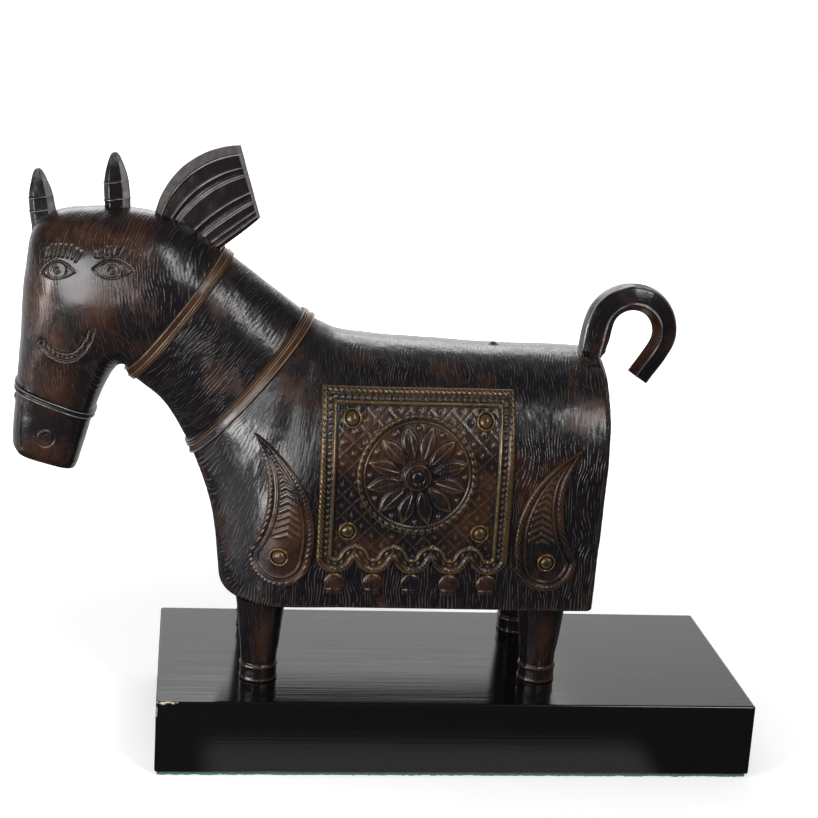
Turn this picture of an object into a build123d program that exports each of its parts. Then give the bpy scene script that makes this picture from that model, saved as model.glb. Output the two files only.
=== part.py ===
from build123d import *
import os
from collections import namedtuple
from functools import lru_cache
from math import cos, pi, radians, sin

# A cast bronze folk horse screwed to a lacquered wooden plinth, in millimetres.
# X runs along the horse with its head towards -X, Y runs across it and Z is up.
# The origin is the centre of the felt's underside, the face that the piece rests on.

# Plinth, felt and the screws that hold the horse down
PLINTH_LENGTH = 305.0
PLINTH_WIDTH = 127.0
PLINTH_THICKNESS = 38.0
PLINTH_EDGE = 1.2
FELT_THICKNESS = 2.0
FELT_INSET = 1.5
SCREW_DIAMETER = 6.0
SCREW_HEAD_DIAMETER = 10.0
SCREW_HEAD_HEIGHT = 4.0
SCREW_GRIP = 12.0
SCREW_HOLE_END = 2.0
WASHER_DIAMETER = 16.0
WASHER_THICKNESS = 1.5
COUNTERBORE_DEPTH = 16.0
SCREW_CLEARANCE = 0.3
THREAD_CLEARANCE = 0.05

# Where the horse stands on the plinth
HORSE_SETBACK = 6.0
CHEST_INSET = 28.5

# Legs
LEG_LENGTH = 44.3
LEG_TOP_WIDTH = 25.5
ANKLE_WIDTH = 18.0
HOOF_WIDTH = 19.5
HOOF_HEIGHT = 8.5
HOOF_EDGE = 1.5
LEG_TENON = 10.0
FRONT_FOOT_BACK = 22.5
REAR_FOOT_AHEAD = 23.0
FRONT_FOOT_SPREAD = 72.0
REAR_FOOT_SPREAD = 67.0

# Body shell, measured from the rim of its skirt
BODY_LENGTH = 190.5
BODY_WIDTH = 106.0
BODY_HEIGHT = 125.2
WALL = 4.5
RUMP_LEAN = 3.5
RUMP_ROUND = 3.0
WITHERS_BACK = 64.0
WITHERS_RISE = 4.5
SHOULDER_BACK = 48.5
SHOULDER_RISE = 9.5
CHEST_LEAN = 15.4
CHEST_HEIGHT = 68.4
CHEST_HOLLOW = 4.4
SHOULDER_ARCH = 0.4
SHOULDER_TAPER = 1.45
FLANK_FULLNESS = 0.95
PLATE_THICKNESS = 4.0
SEAT_GAP = 0.1

# Neck and straps
COLLAR_DEPTH = 90.6
COLLAR_WIDTH = 60.0
COLLAR_TILT = 50.7
NECK_LENGTH = 49.3
NECK_RISE = 42.5
THROAT_HOLLOW = 4.0
POLL_DEPTH = 79.0
POLL_WIDTH = 56.0
POLL_TILT = 53.3
STRAP_WIDTH = 7.0
STRAP_THICKNESS = 1.8
NOSEBAND_WIDTH = 4.0
NOSEBAND_THICKNESS = 1.2

# Ears, crest and tail
EAR_LENGTH = 27.0
EAR_WIDTH = 12.6
EAR_THICKNESS = 8.4
EAR_FULLNESS = 0.64
EAR_ROOT = 9.0
EAR_PIN = 5.0
LEFT_EAR_AT = (-31.2, 52.0)
LEFT_EAR_LEAN = 4.0
RIGHT_EAR_AT = (-66.8, 42.5)
RIGHT_EAR_LEAN = 7.0
CREST_THICKNESS = 9.0
CREST_EDGE = 1.2
CREST_RIB_PITCH = 6.2
CREST_RIB_WIDTH = 1.6
CREST_RIB_HEIGHT = 0.7
CREST_RIBS = 6
CREST_TONGUE_LENGTH = 16.0
CREST_TONGUE_THICKNESS = 5.0
TAIL_ROOT_WIDTH = 16.6
TAIL_TIP_WIDTH = 11.8
TAIL_FULLNESS = 0.68
TAIL_AHEAD = 2.7
TAIL_STEM = 12.5
TAIL_STEM_LEAN = 6.0
TAIL_LOOP_RADIUS = 17.6
TAIL_TURN = 206.0
TAIL_STEPS = 8
TAIL_END = 18.0
TAIL_PIN = 6.0
TAIL_PIN_LEAN = 22.0

# Appliqué on both flanks, placed from the middle of the flank's lower rim
FLANK_SHIFT = 0.75
FLANK_GAP = 2.5
CLOTH_BOTTOM = 26.0
CLOTH_TOP = 111.0
CLOTH_THICKNESS = 0.7
CLOTH_SCALLOPS = 5
SCALLOP_DROP = 7.0
CORD_WIDTH = 3.2
CORD_HEIGHT = 1.9
PIPING_INSET = 6.0
PIPING_WIDTH = 1.7
BELL_WIDTH = 8.0
BELL_HEIGHT = 11.0
BELL_LIP = 2.75
MEDALLION_RISE = 70.0
MEDALLION_RADIUS = 30.0
MEDALLION_THICKNESS = 1.4
MEDALLION_RELIEF = 2.6
MEDALLION_RING = 2.6
PETALS = 12
PETAL_REACH = 25.5
PETAL_WIDTH = 8.2
BOSS_RADIUS = 8.0
BOSS_HEIGHT = 4.4
PAISLEY_HEIGHT = 74.0
PAISLEY_WIDTH = 31.0
PAISLEY_RISE = 11.0
SHOULDER_PAISLEY_INSET = 30.0
HAUNCH_PAISLEY_INSET = 26.5
STUD_DIAMETER = 9.6
STUD_HEIGHT = 2.6
STUD_RIM = 1.2
STUD_INSET = 15.0
STUD_LOW = 41.0
STUD_HIGH = 97.0

# Levels and places that follow from the sizes above
PLINTH_TOP = FELT_THICKNESS + PLINTH_THICKNESS
RIM = PLINTH_TOP + LEG_LENGTH
BACK = RIM + BODY_HEIGHT
FRONT = CHEST_INSET - PLINTH_LENGTH / 2
REAR = FRONT + BODY_LENGTH
FLANK_BACK = BODY_LENGTH / 2 + FLANK_SHIFT
SHOULDER_PAISLEY_AHEAD = FLANK_BACK - SHOULDER_PAISLEY_INSET
HAUNCH_PAISLEY_BACK = BODY_LENGTH - FLANK_BACK - HAUNCH_PAISLEY_INSET
CLOTH_WIDTH = 2 * (SHOULDER_PAISLEY_AHEAD - PAISLEY_WIDTH / 2 - FLANK_GAP)
STUD_SPREAD = CLOTH_WIDTH / 2 - STUD_INSET
HALF_BODY = BODY_WIDTH / 2
SPRING = BACK - HALF_BODY
MIDLINE = HORSE_SETBACK
MID_PLANE = Plane(origin=(0, MIDLINE, 0), x_dir=(1, 0, 0), z_dir=(0, -1, 0))

# Sizes that only have to reach past the part
TRIM = 80.0
FAR = 900.0

# How far a quarter of a section bulges: a true oval, up to 1 for a box with rounded corners
OVAL = 0.5523

# The widest place of a section that is alike above and below it
HALF_WAY = 0.5

# One section across the horse: its lowest and highest points in the mid-plane, its half width,
# the share of its height above the widest place, and how full its quarters are below and above that
SECTION_FIELDS = "low_x low_z top_x top_z half_width arch fullness crown"
Section = namedtuple("Section", SECTION_FIELDS, defaults=(OVAL,))


def control_ring(section, grow):
    """Control points of a section's left half: two curved quarters, from its top to its lowest point."""
    low = Vector(section.low_x, MIDLINE, section.low_z)
    top = Vector(section.top_x, MIDLINE, section.top_z)
    up = (top - low).normalized()
    widest = low + (top - low) * (1 - section.arch)
    low, top = low - up * grow, top + up * grow
    side = Vector(0, -section.half_width - grow, 0)
    return [
        top,
        top + side * section.crown,
        widest + side + (top - widest) * section.crown,
        widest + side,
        widest + side + (low - widest) * section.fullness,
        low + side * section.fullness,
        low,
    ]


def skin(sections, grow=0.0):
    """A closed solid that runs smoothly through the sections, alike on both sides of the mid-plane."""
    rings = [control_ring(section, grow) for section in sections]
    places = [0.0]
    for before, after in zip(rings, rings[1:]):
        places.append(places[-1] + (after[3] - before[3]).length)
    last = len(rings) - 1
    slopes = []
    for k in range(len(rings)):
        back, on = max(k - 1, 0), min(k + 1, last)
        slopes.append([(b - a) / (places[on] - places[back]) for a, b in zip(rings[back], rings[on])])
    faces = []
    for k in range(last):
        third = (places[k + 1] - places[k]) / 3
        leave = [point + slope * third for point, slope in zip(rings[k], slopes[k])]
        arrive = [point - slope * third for point, slope in zip(rings[k + 1], slopes[k + 1])]
        rows = (rings[k], leave, arrive, rings[k + 1])
        for quarter in (0, 3):
            faces.append(Face.make_bezier_surface([row[quarter:quarter + 4] for row in rows]))
    for ring in (rings[0], rings[-1]):
        half = [Edge.make_bezier(*ring[:4]), Edge.make_bezier(*ring[3:])]
        faces.append(Face(Wire(half + [Edge.make_line(ring[6], ring[0])])))
    return Solid(Shell(faces + [face.mirror(MID_PLANE) for face in faces]))


def section_plane(section):
    """The plane of a section, its normal pointing on towards the muzzle."""
    rise = Vector(section.top_x - section.low_x, 0, section.top_z - section.low_z).normalized()
    middle = ((section.low_x + section.top_x) / 2, MIDLINE, (section.low_z + section.top_z) / 2)
    return Plane(origin=middle, x_dir=rise, z_dir=(-rise.Z, 0, rise.X))


def slab(plane, start, end, reach):
    """What lies between two distances along a plane's normal, out to a reach from its origin."""
    return plane.location * Pos(0, 0, (start + end) / 2) * Box(2 * reach, 2 * reach, end - start)


def tilted_section(middle_x, middle_z, depth, tilt, width):
    """An upright oval across the neck."""
    half_x = depth / 2 * cos(radians(tilt))
    half_z = depth / 2 * sin(radians(tilt))
    low, top = (middle_x - half_x, middle_z - half_z), (middle_x + half_x, middle_z + half_z)
    return Section(*low, *top, width / 2, HALF_WAY, OVAL)


COLLAR_X = FRONT - CHEST_LEAN + COLLAR_DEPTH / 2 * cos(radians(COLLAR_TILT))
COLLAR_Z = RIM + CHEST_HEIGHT + COLLAR_DEPTH / 2 * sin(radians(COLLAR_TILT))
POLL_X = COLLAR_X - NECK_LENGTH * cos(radians(NECK_RISE))
POLL_Z = COLLAR_Z + NECK_LENGTH * sin(radians(NECK_RISE))
COLLAR = tilted_section(COLLAR_X, COLLAR_Z, COLLAR_DEPTH, COLLAR_TILT, COLLAR_WIDTH)
POLL = tilted_section(POLL_X, POLL_Z, POLL_DEPTH, POLL_TILT, POLL_WIDTH)
THROAT = tilted_section(
    (COLLAR_X + POLL_X + THROAT_HOLLOW * cos(radians(COLLAR_TILT))) / 2,
    (COLLAR_Z + POLL_Z + THROAT_HOLLOW * sin(radians(COLLAR_TILT))) / 2,
    (COLLAR_DEPTH + POLL_DEPTH) / 2 - THROAT_HOLLOW,
    (COLLAR_TILT + POLL_TILT) / 2,
    (COLLAR_WIDTH + POLL_WIDTH) / 2,
)

# The head's sections after the poll, from the poll's centre: underside, top, half width and fullness
HEAD_PROFILE = {
    "nape": (-25.5, -28.1, -1.0, 47.4, 30.0, OVAL),
    "crown": (-28.2, -27.1, -34.0, 52.2, 30.0, 0.61),
    "forehead": (-30.6, -28.8, -68.0, 45.8, 29.0, 0.66),
    "eyes": (-33.4, -32.9, -75.6, 20.0, 27.0, 0.70),
    "cheeks": (-37.3, -41.1, -77.7, -14.0, 23.5, 0.74),
    "noseband": (-41.2, -52.2, -79.5, -38.0, 20.5, 0.78),
    "muzzle": (-48.4, -77.0, -81.2, -67.6, 18.0, 0.82),
    "lips": (-49.8, -80.4, -79.0, -72.4, 16.2, 0.82),
}


def head_section(name):
    low_x, low_z, top_x, top_z, half_width, full = HEAD_PROFILE[name]
    low, top = (POLL_X + low_x, POLL_Z + low_z), (POLL_X + top_x, POLL_Z + top_z)
    return Section(*low, *top, half_width, HALF_WAY, full, full)


def body_section(low_x, low_z, top_x, top_z, half_width):
    """A section of the body, widest where the flanks start to arch over the back."""
    arch = (top_z - SPRING) / (top_z - low_z)
    return Section(low_x, low_z, top_x, top_z, half_width, arch, FLANK_FULLNESS)


def rump_section(ahead, inset):
    """A section parallel to the rump's leaning face."""
    top_z = BACK - inset
    low_x = REAR - ahead - RUMP_LEAN * TRIM / BODY_HEIGHT
    top_x = REAR - ahead + RUMP_LEAN * (top_z - RIM) / BODY_HEIGHT
    return body_section(low_x, RIM - TRIM, top_x, top_z, HALF_BODY - inset)


# Sections between the shoulder and the collar: the share of the way, and how far the chest is hollowed
SHOULDER_STEPS = ((0.0, 0.0), (0.42, 0.0), (0.78, CHEST_HOLLOW))


def body_sections(grow):
    """Rump, saddle, withers, and a chest that fans round and narrows to the collar."""
    low_z = RIM - TRIM
    withers_x = FRONT + WITHERS_BACK
    saddle_x = (withers_x + REAR) / 2
    sections = [rump_section(-grow, RUMP_ROUND), rump_section(RUMP_ROUND - grow, 0)]
    for x, rise in ((saddle_x, WITHERS_RISE / 4), (withers_x, WITHERS_RISE)):
        sections.append(body_section(x, low_z, x, BACK + rise, HALF_BODY))
    chest_foot = FRONT + CHEST_LEAN * TRIM / CHEST_HEIGHT
    shoulder = (chest_foot, low_z, FRONT + SHOULDER_BACK, BACK + SHOULDER_RISE)
    collar = (COLLAR.low_x, COLLAR.low_z, COLLAR.top_x, COLLAR.top_z)
    for share, hollow in SHOULDER_STEPS:
        ends = [a + (b - a) * share for a, b in zip(shoulder, collar)]
        ends[0] += hollow
        half_width = HALF_BODY - (HALF_BODY - COLLAR.half_width) * share ** SHOULDER_TAPER
        arch = SHOULDER_ARCH + (COLLAR.arch - SHOULDER_ARCH) * share
        fullness = FLANK_FULLNESS + (COLLAR.fullness - FLANK_FULLNESS) * share
        sections.append(Section(*ends, half_width, arch, fullness))
    return sections + [COLLAR]


@lru_cache(maxsize=None)
def body_form(grow):
    return skin(body_sections(grow), grow)


@lru_cache(maxsize=None)
def neck_form(grow):
    return skin([COLLAR, THROAT, POLL], grow)


@lru_cache(maxsize=None)
def head_form(grow):
    return skin([POLL] + [head_section(name) for name in HEAD_PROFILE], grow)


def above(level):
    return Pos(0, 0, level + FAR / 2) * Box(FAR, FAR, FAR)


def foot_places():
    """Each leg's name and the middle of its foot."""
    front_x, rear_x = FRONT + FRONT_FOOT_BACK, REAR - REAR_FOOT_AHEAD
    places = {}
    for side, sign in (("left", -1), ("right", 1)):
        places[f"{side}_front_leg"] = (front_x, MIDLINE + sign * FRONT_FOOT_SPREAD / 2)
        places[f"{side}_rear_leg"] = (rear_x, MIDLINE + sign * REAR_FOOT_SPREAD / 2)
    return places


def peg(x, y, low, high, diameter):
    """An upright round peg between two levels."""
    return Pos(x, y, (low + high) / 2) * Cylinder(diameter / 2, high - low)


COUNTERBORE_TOP = FELT_THICKNESS + COUNTERBORE_DEPTH
SCREW_TOP = PLINTH_TOP + SCREW_GRIP


def plinth():
    block = fillet(Box(PLINTH_LENGTH, PLINTH_WIDTH, PLINTH_THICKNESS).edges(), PLINTH_EDGE)
    block = Pos(0, 0, FELT_THICKNESS + PLINTH_THICKNESS / 2) * block
    for x, y in foot_places().values():
        block -= peg(x, y, 0, PLINTH_TOP + 1, SCREW_DIAMETER + 2 * SCREW_CLEARANCE)
        block -= peg(x, y, 0, COUNTERBORE_TOP, WASHER_DIAMETER + 2 * SCREW_CLEARANCE)
    return block


def base_felt():
    sheet = Box(PLINTH_LENGTH - 2 * FELT_INSET, PLINTH_WIDTH - 2 * FELT_INSET, FELT_THICKNESS)
    return Pos(0, 0, FELT_THICKNESS / 2) * sheet


def foot_screws():
    screws = []
    head_top = COUNTERBORE_TOP - WASHER_THICKNESS
    for x, y in foot_places().values():
        head = Pos(x, y, head_top - SCREW_HEAD_HEIGHT) * extrude(
            RegularPolygon(SCREW_HEAD_DIAMETER / 2, 6, major_radius=False), SCREW_HEAD_HEIGHT
        )
        screws.append(head + peg(x, y, head_top, SCREW_TOP, SCREW_DIAMETER))
    return Compound(children=screws)


def foot_washers():
    washers = []
    low = COUNTERBORE_TOP - WASHER_THICKNESS
    for x, y in foot_places().values():
        disc = peg(x, y, low, COUNTERBORE_TOP, WASHER_DIAMETER)
        washers.append(disc - peg(x, y, low, COUNTERBORE_TOP, SCREW_DIAMETER + 2 * SCREW_CLEARANCE))
    return Compound(children=washers)


def leg(x, y):
    """A turned leg: hoof, ankle groove, a shaft that widens upwards and a tenon for the belly plate."""
    tenon_top = LEG_LENGTH + PLATE_THICKNESS
    outline = Polyline(
        (0, 0),
        (HOOF_WIDTH / 2 - HOOF_EDGE, 0),
        (HOOF_WIDTH / 2, HOOF_EDGE),
        (HOOF_WIDTH / 2, HOOF_HEIGHT - HOOF_EDGE),
        (ANKLE_WIDTH / 2, HOOF_HEIGHT),
        (LEG_TOP_WIDTH / 2, LEG_LENGTH),
        (LEG_TENON / 2, LEG_LENGTH),
        (LEG_TENON / 2, tenon_top),
        (0, tenon_top),
        close=True,
    )
    solid = Pos(x, y, PLINTH_TOP) * revolve(Plane.XZ * make_face(outline), Axis.Z)
    tapped = SCREW_DIAMETER + 2 * THREAD_CLEARANCE
    return solid - peg(x, y, PLINTH_TOP - 1, SCREW_TOP + SCREW_HOLE_END, tapped)


def belly_plate():
    """The plate that closes the body from below and carries the legs."""
    plate = body_form(-WALL - SEAT_GAP) & slab(Plane.XY, RIM, RIM + PLATE_THICKNESS, FAR)
    for x, y in foot_places().values():
        plate -= peg(x, y, RIM - 1, RIM + PLATE_THICKNESS + 1, LEG_TENON + 2 * SEAT_GAP)
    return plate


def tail_path():
    """The tail's middle line: a stem, a loop back over itself and a straight end."""
    root = (REAR + RUMP_LEAN - TAIL_AHEAD, BACK)
    lean = radians(TAIL_STEM_LEAN)
    stem = (root[0] + TAIL_STEM * sin(lean), root[1] + TAIL_STEM * cos(lean))
    centre = (stem[0] + TAIL_LOOP_RADIUS * cos(lean), stem[1] - TAIL_LOOP_RADIUS * sin(lean))
    start = pi - lean
    sunk = (root[0] - TAIL_ROOT_WIDTH * sin(lean), root[1] - TAIL_ROOT_WIDTH * cos(lean))
    places = [(*sunk, start), (*root, start)]
    for k in range(TAIL_STEPS + 1):
        turn = start - radians(TAIL_TURN) * k / TAIL_STEPS
        x, z = centre[0] + TAIL_LOOP_RADIUS * cos(turn), centre[1] + TAIL_LOOP_RADIUS * sin(turn)
        places.append((x, z, turn))
    x, z, turn = places[-1]
    places.append((x + TAIL_END * sin(turn), z - TAIL_END * cos(turn), turn))
    return places


def tail_sections():
    places = tail_path()
    sections = []
    for k, (x, z, turn) in enumerate(places):
        half = (TAIL_ROOT_WIDTH + (TAIL_TIP_WIDTH - TAIL_ROOT_WIDTH) * k / (len(places) - 1)) / 2
        out_x, out_z = half * cos(turn), half * sin(turn)
        low, top = (x - out_x, z - out_z), (x + out_x, z + out_z)
        sections.append(Section(*low, *top, half, HALF_WAY, TAIL_FULLNESS, TAIL_FULLNESS))
    return sections


def tail_pin(diameter):
    """The spigot that seats the tail in the shell, leaning forward, clear of the rump's wall."""
    x, z = REAR + RUMP_LEAN - TAIL_AHEAD, BACK
    place = Location((x, MIDLINE, z), (0, TAIL_PIN_LEAN, 0))
    return place * Pos(0, 0, -WALL / 2) * Cylinder(diameter / 2, 3 * WALL)


def tail():
    hook = skin(tail_sections()) - body_form(0.0)
    spigot = tail_pin(TAIL_PIN) & (body_form(0.0) - body_form(-WALL))
    return hook + spigot


def body_shell():
    shell = (body_form(0.0) & above(RIM)) - body_form(-WALL)
    return shell - tail_pin(TAIL_PIN + 2 * SEAT_GAP)


def neck():
    return neck_form(0.0) - neck_form(-WALL)


def strap_over(section, depth, after, before):
    """A strap round a joint: half on the form after the section, half on the form before it."""
    plane = section_plane(section)
    reach = depth / 2 + STRAP_WIDTH
    ahead = (after(STRAP_THICKNESS) & slab(plane, 0, STRAP_WIDTH / 2, reach)) - after(0.0)
    behind = (before(STRAP_THICKNESS) & slab(plane, -STRAP_WIDTH / 2, 0, reach)) - before(0.0)
    return ahead + behind


def neck_collar():
    return strap_over(COLLAR, COLLAR_DEPTH, neck_form, body_form)


@lru_cache(maxsize=None)
def poll_strap():
    return strap_over(POLL, POLL_DEPTH, head_form, neck_form)


def noseband():
    plane = section_plane(head_section("noseband"))
    band = slab(plane, -NOSEBAND_WIDTH / 2, NOSEBAND_WIDTH / 2, POLL_DEPTH / 2)
    return (head_form(NOSEBAND_THICKNESS) & band) - head_form(0.0)


# An ear's outline: shares of its length, from the root sunk in the head, and of its width
EAR_PROFILE = (
    (-EAR_ROOT / EAR_LENGTH, 0.95),
    (0.0, 1.0),
    (0.3, 1.0),
    (0.58, 0.88),
    (0.82, 0.58),
    (0.95, 0.35),
    (1.0, 0.16),
)


def ear_frame(at, lean):
    """An ear's root on the head, its own Z along the ear."""
    return Location((POLL_X + at[0], MIDLINE, POLL_Z + at[1]), (0, -lean, 0))


def ear_sections(at, lean):
    """A leaf, from the root sunk in the head to the blunt tip."""
    tilt = radians(lean)
    sections = []
    for along, share in EAR_PROFILE:
        x = POLL_X + at[0] - along * EAR_LENGTH * sin(tilt)
        z = POLL_Z + at[1] + along * EAR_LENGTH * cos(tilt)
        out_x = EAR_WIDTH / 2 * share * cos(tilt)
        out_z = EAR_WIDTH / 2 * share * sin(tilt)
        low, top = (x - out_x, z - out_z), (x + out_x, z + out_z)
        sections.append(Section(*low, *top, EAR_THICKNESS / 2 * share, HALF_WAY, EAR_FULLNESS, EAR_FULLNESS))
    return sections


def ear_pin(at, lean, diameter):
    return ear_frame(at, lean) * Cylinder(diameter / 2, 4 * EAR_ROOT)


def ear(at, lean):
    leaf = skin(ear_sections(at, lean)) - head_form(0.0)
    near = ear_frame(at, lean) * Box(2 * EAR_WIDTH, 2 * EAR_WIDTH, 2 * EAR_ROOT)
    spigot = ear_pin(at, lean, EAR_PIN) & near & (head_form(0.0) - head_form(-WALL))
    return leaf + spigot


# The crest's outline, from the poll's centre: its curved top edge, its cut end and its root in the head
CREST_FRONT = (-13.5, 46.0)
CREST_SHOULDER = (0.7, 73.9)
CREST_TOP = (28.1, 85.2)
CREST_CORNER = (38.9, 50.2)
CREST_HEEL = (23.0, 36.6)
CREST_ROOT = (5.0, 24.0)
CREST_TONGUE_AT = (4.5, 46.0)
CREST_TONGUE_REACH = 14.0


def crest_outline():
    top_edge = ThreePointArc(CREST_FRONT, CREST_SHOULDER, CREST_TOP)
    rest = Polyline(CREST_TOP, CREST_CORNER, CREST_HEEL, CREST_ROOT, CREST_FRONT)
    return top_edge, make_face(top_edge + rest)


def crest_plate(face, thickness):
    """A flat shape drawn from the poll's centre, centred on the mid-plane."""
    plane = Plane(origin=(POLL_X, MIDLINE, POLL_Z), x_dir=(1, 0, 0), z_dir=(0, -1, 0))
    return extrude(plane * face, thickness / 2, both=True)


def crest_tongue(thickness):
    x, z = POLL_X + CREST_TONGUE_AT[0], POLL_Z + CREST_TONGUE_AT[1]
    return Pos(x, MIDLINE, z) * Box(CREST_TONGUE_LENGTH, thickness, 2 * CREST_TONGUE_REACH)


def mane_crest():
    """A standing plate with curved ribs on both faces and a tongue let into the head."""
    top_edge, face = crest_outline()
    plate = chamfer(crest_plate(face, CREST_THICKNESS).edges(), CREST_EDGE)
    ribs = Sketch()
    for k in range(1, CREST_RIBS + 1):
        middle = top_edge.radius - k * CREST_RIB_PITCH
        ring = Circle(middle + CREST_RIB_WIDTH / 2) - Circle(middle - CREST_RIB_WIDTH / 2)
        ribs += Pos(top_edge.arc_center.X, top_edge.arc_center.Y) * ring
    inner = offset(face, -2 * CREST_EDGE)
    plate += crest_plate(ribs & inner, CREST_THICKNESS + 2 * CREST_RIB_HEIGHT)
    plate -= head_form(0.0)
    plate -= neck_form(0.0)
    plate -= poll_strap()
    head_wall = head_form(0.0) - head_form(-WALL)
    return plate + (crest_tongue(CREST_TONGUE_THICKNESS) & head_wall)


def head():
    """A hollow casting, open at the poll and closed at the lips."""
    lips = slab(section_plane(head_section("lips")), -WALL, WALL, POLL_DEPTH / 2)
    shell = head_form(0.0) - (head_form(-WALL) - lips)
    shell -= crest_tongue(CREST_TONGUE_THICKNESS + 2 * SEAT_GAP)
    for at, lean in ((LEFT_EAR_AT, LEFT_EAR_LEAN), (RIGHT_EAR_AT, RIGHT_EAR_LEAN)):
        near = ear_frame(at, lean) * Box(2 * EAR_WIDTH, 2 * EAR_WIDTH, 2 * EAR_ROOT)
        shell -= ear_pin(at, lean, EAR_PIN + 2 * SEAT_GAP) & near
    return shell


# Left flank, drawn upright from the middle of its lower rim; the right flank is its mirror image
FLANK = Plane(origin=(FRONT + FLANK_BACK, MIDLINE, RIM), x_dir=(1, 0, 0), z_dir=(0, -1, 0))


def raised(sketch, height):
    """A shape of the flank, standing proud of the body by the given height."""
    prism = extrude(FLANK * sketch, HALF_BODY + 2 * MEDALLION_RELIEF + BOSS_HEIGHT)
    return prism & body_form(height)


def cloth_outline():
    """A saddlecloth with a scalloped hem."""
    left, right = -CLOTH_WIDTH / 2, CLOTH_WIDTH / 2
    pitch = CLOTH_WIDTH / CLOTH_SCALLOPS
    edges = Polyline((right, CLOTH_BOTTOM), (right, CLOTH_TOP), (left, CLOTH_TOP), (left, CLOTH_BOTTOM))
    for k in range(CLOTH_SCALLOPS):
        start = left + k * pitch
        lowest = (start + pitch / 2, CLOTH_BOTTOM - SCALLOP_DROP)
        edges += ThreePointArc((start, CLOTH_BOTTOM), lowest, (start + pitch, CLOTH_BOTTOM))
    return make_face(edges)


def saddle_cloth():
    face = cloth_outline()
    cord = face - offset(face, -CORD_WIDTH)
    piping = offset(face, -PIPING_INSET) - offset(face, -PIPING_INSET - PIPING_WIDTH)
    cloth = raised(face, CLOTH_THICKNESS) + raised(cord, CORD_HEIGHT) + raised(piping, CORD_HEIGHT)
    return cloth - body_form(0.0)


def hem_bells():
    """One small bell under each scallop of the hem."""
    pitch = CLOTH_WIDTH / CLOTH_SCALLOPS
    top = CLOTH_BOTTOM - SCALLOP_DROP
    mouth = top - BELL_HEIGHT
    lip = mouth + BELL_LIP
    bells = []
    for k in range(CLOTH_SCALLOPS):
        x = -CLOTH_WIDTH / 2 + (k + 0.5) * pitch
        left, right = x - BELL_WIDTH / 2, x + BELL_WIDTH / 2
        dome = ThreePointArc((left, lip), (x, top), (right, lip))
        skirt = Polyline((right, lip), (right, mouth), (left, mouth), (left, lip))
        face = make_face(dome + skirt)
        bells.append(raised(face - cloth_outline(), CORD_HEIGHT) - body_form(0.0))
    return bells


def petal():
    """A pointed petal that reaches up from the medallion's middle: the overlap of two circles."""
    half_length = (PETAL_REACH - BOSS_RADIUS) / 2
    bow = PETAL_WIDTH / 2
    radius = (half_length ** 2 + bow ** 2) / (2 * bow)
    lens = Pos(radius - bow, 0) * Circle(radius) & Pos(bow - radius, 0) * Circle(radius)
    return Pos(0, BOSS_RADIUS + half_length) * lens


def lotus_medallion():
    """A disc with a raised ring, a ring of petals and a domed boss, on the saddlecloth."""
    disc = Circle(MEDALLION_RADIUS)
    relief = disc - Circle(MEDALLION_RADIUS - MEDALLION_RING)
    for k in range(PETALS):
        relief += Rot(0, 0, 360 * k / PETALS) * petal()
    place = Pos(0, MEDALLION_RISE)
    medallion = raised(place * disc, MEDALLION_THICKNESS) + raised(place * relief, MEDALLION_RELIEF)
    dome_radius = (BOSS_RADIUS ** 2 + BOSS_HEIGHT ** 2) / (2 * BOSS_HEIGHT)
    centre = Pos(0, MEDALLION_RISE, HALF_BODY + BOSS_HEIGHT - dome_radius)
    boss = FLANK.location * centre * Sphere(dome_radius)
    medallion += boss & raised(place * Circle(BOSS_RADIUS), BOSS_HEIGHT)
    return medallion - body_form(CLOTH_THICKNESS)


# The curl of a paisley, in shares of its half width and height: its tip, its hollow side and its back
PAISLEY_CURL = ((0.9, 1.0), (0.42, 0.62), (-0.52, 0.74))


def paisley_outline(sign):
    """A leaf-shaped drop whose tip curls to one side."""
    half = PAISLEY_WIDTH / 2
    tip, hollow, back = ((along * half, up * PAISLEY_HEIGHT) for along, up in PAISLEY_CURL)
    bottom = ThreePointArc((-half, half), (0, 0), (half, half))
    inner = ThreePointArc((half, half), hollow, tip)
    outer = ThreePointArc(tip, back, (-half, half))
    face = make_face(bottom + inner + outer)
    return face if sign > 0 else mirror(face, about=Plane.YZ)


def paisley(at, sign):
    face = Pos(at, PAISLEY_RISE) * paisley_outline(sign)
    rim = face - offset(face, -CORD_WIDTH)
    return raised(face, CLOTH_THICKNESS) + raised(rim, CORD_HEIGHT) - body_form(0.0)


def stud(at, rise):
    """A round-headed stud with a rim, square to the cloth or the leaf below it."""
    ground = body_form(CLOTH_THICKNESS)
    probe = Axis(FLANK.from_local_coords((at, rise, FAR)), -FLANK.z_dir)
    point, normal = max(ground.find_intersection_points(probe), key=lambda hit: -hit[0].Y)
    seat = Plane(origin=point, z_dir=normal if normal.Y < 0 else -normal).location
    radius = STUD_DIAMETER / 2
    dome_radius = (radius ** 2 + STUD_HEIGHT ** 2) / (2 * STUD_HEIGHT)
    dome = Pos(0, 0, STUD_HEIGHT - dome_radius) * Sphere(dome_radius) & Cylinder(radius, 4 * STUD_HEIGHT)
    rim = Cylinder(radius, 2 * STUD_RIM) - Cylinder(radius - STUD_RIM, 2 * STUD_RIM)
    shank = Pos(0, 0, -STUD_RIM) * Cylinder(radius, 2 * STUD_RIM)
    return seat * (dome + rim + shank) - ground


def studs():
    pieces = [stud(at, rise) for at in (-STUD_SPREAD, STUD_SPREAD) for rise in (STUD_LOW, STUD_HIGH)]
    for at in (-SHOULDER_PAISLEY_AHEAD, HAUNCH_PAISLEY_BACK):
        pieces.append(stud(at, PAISLEY_RISE + PAISLEY_WIDTH / 2))
    return pieces


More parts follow.
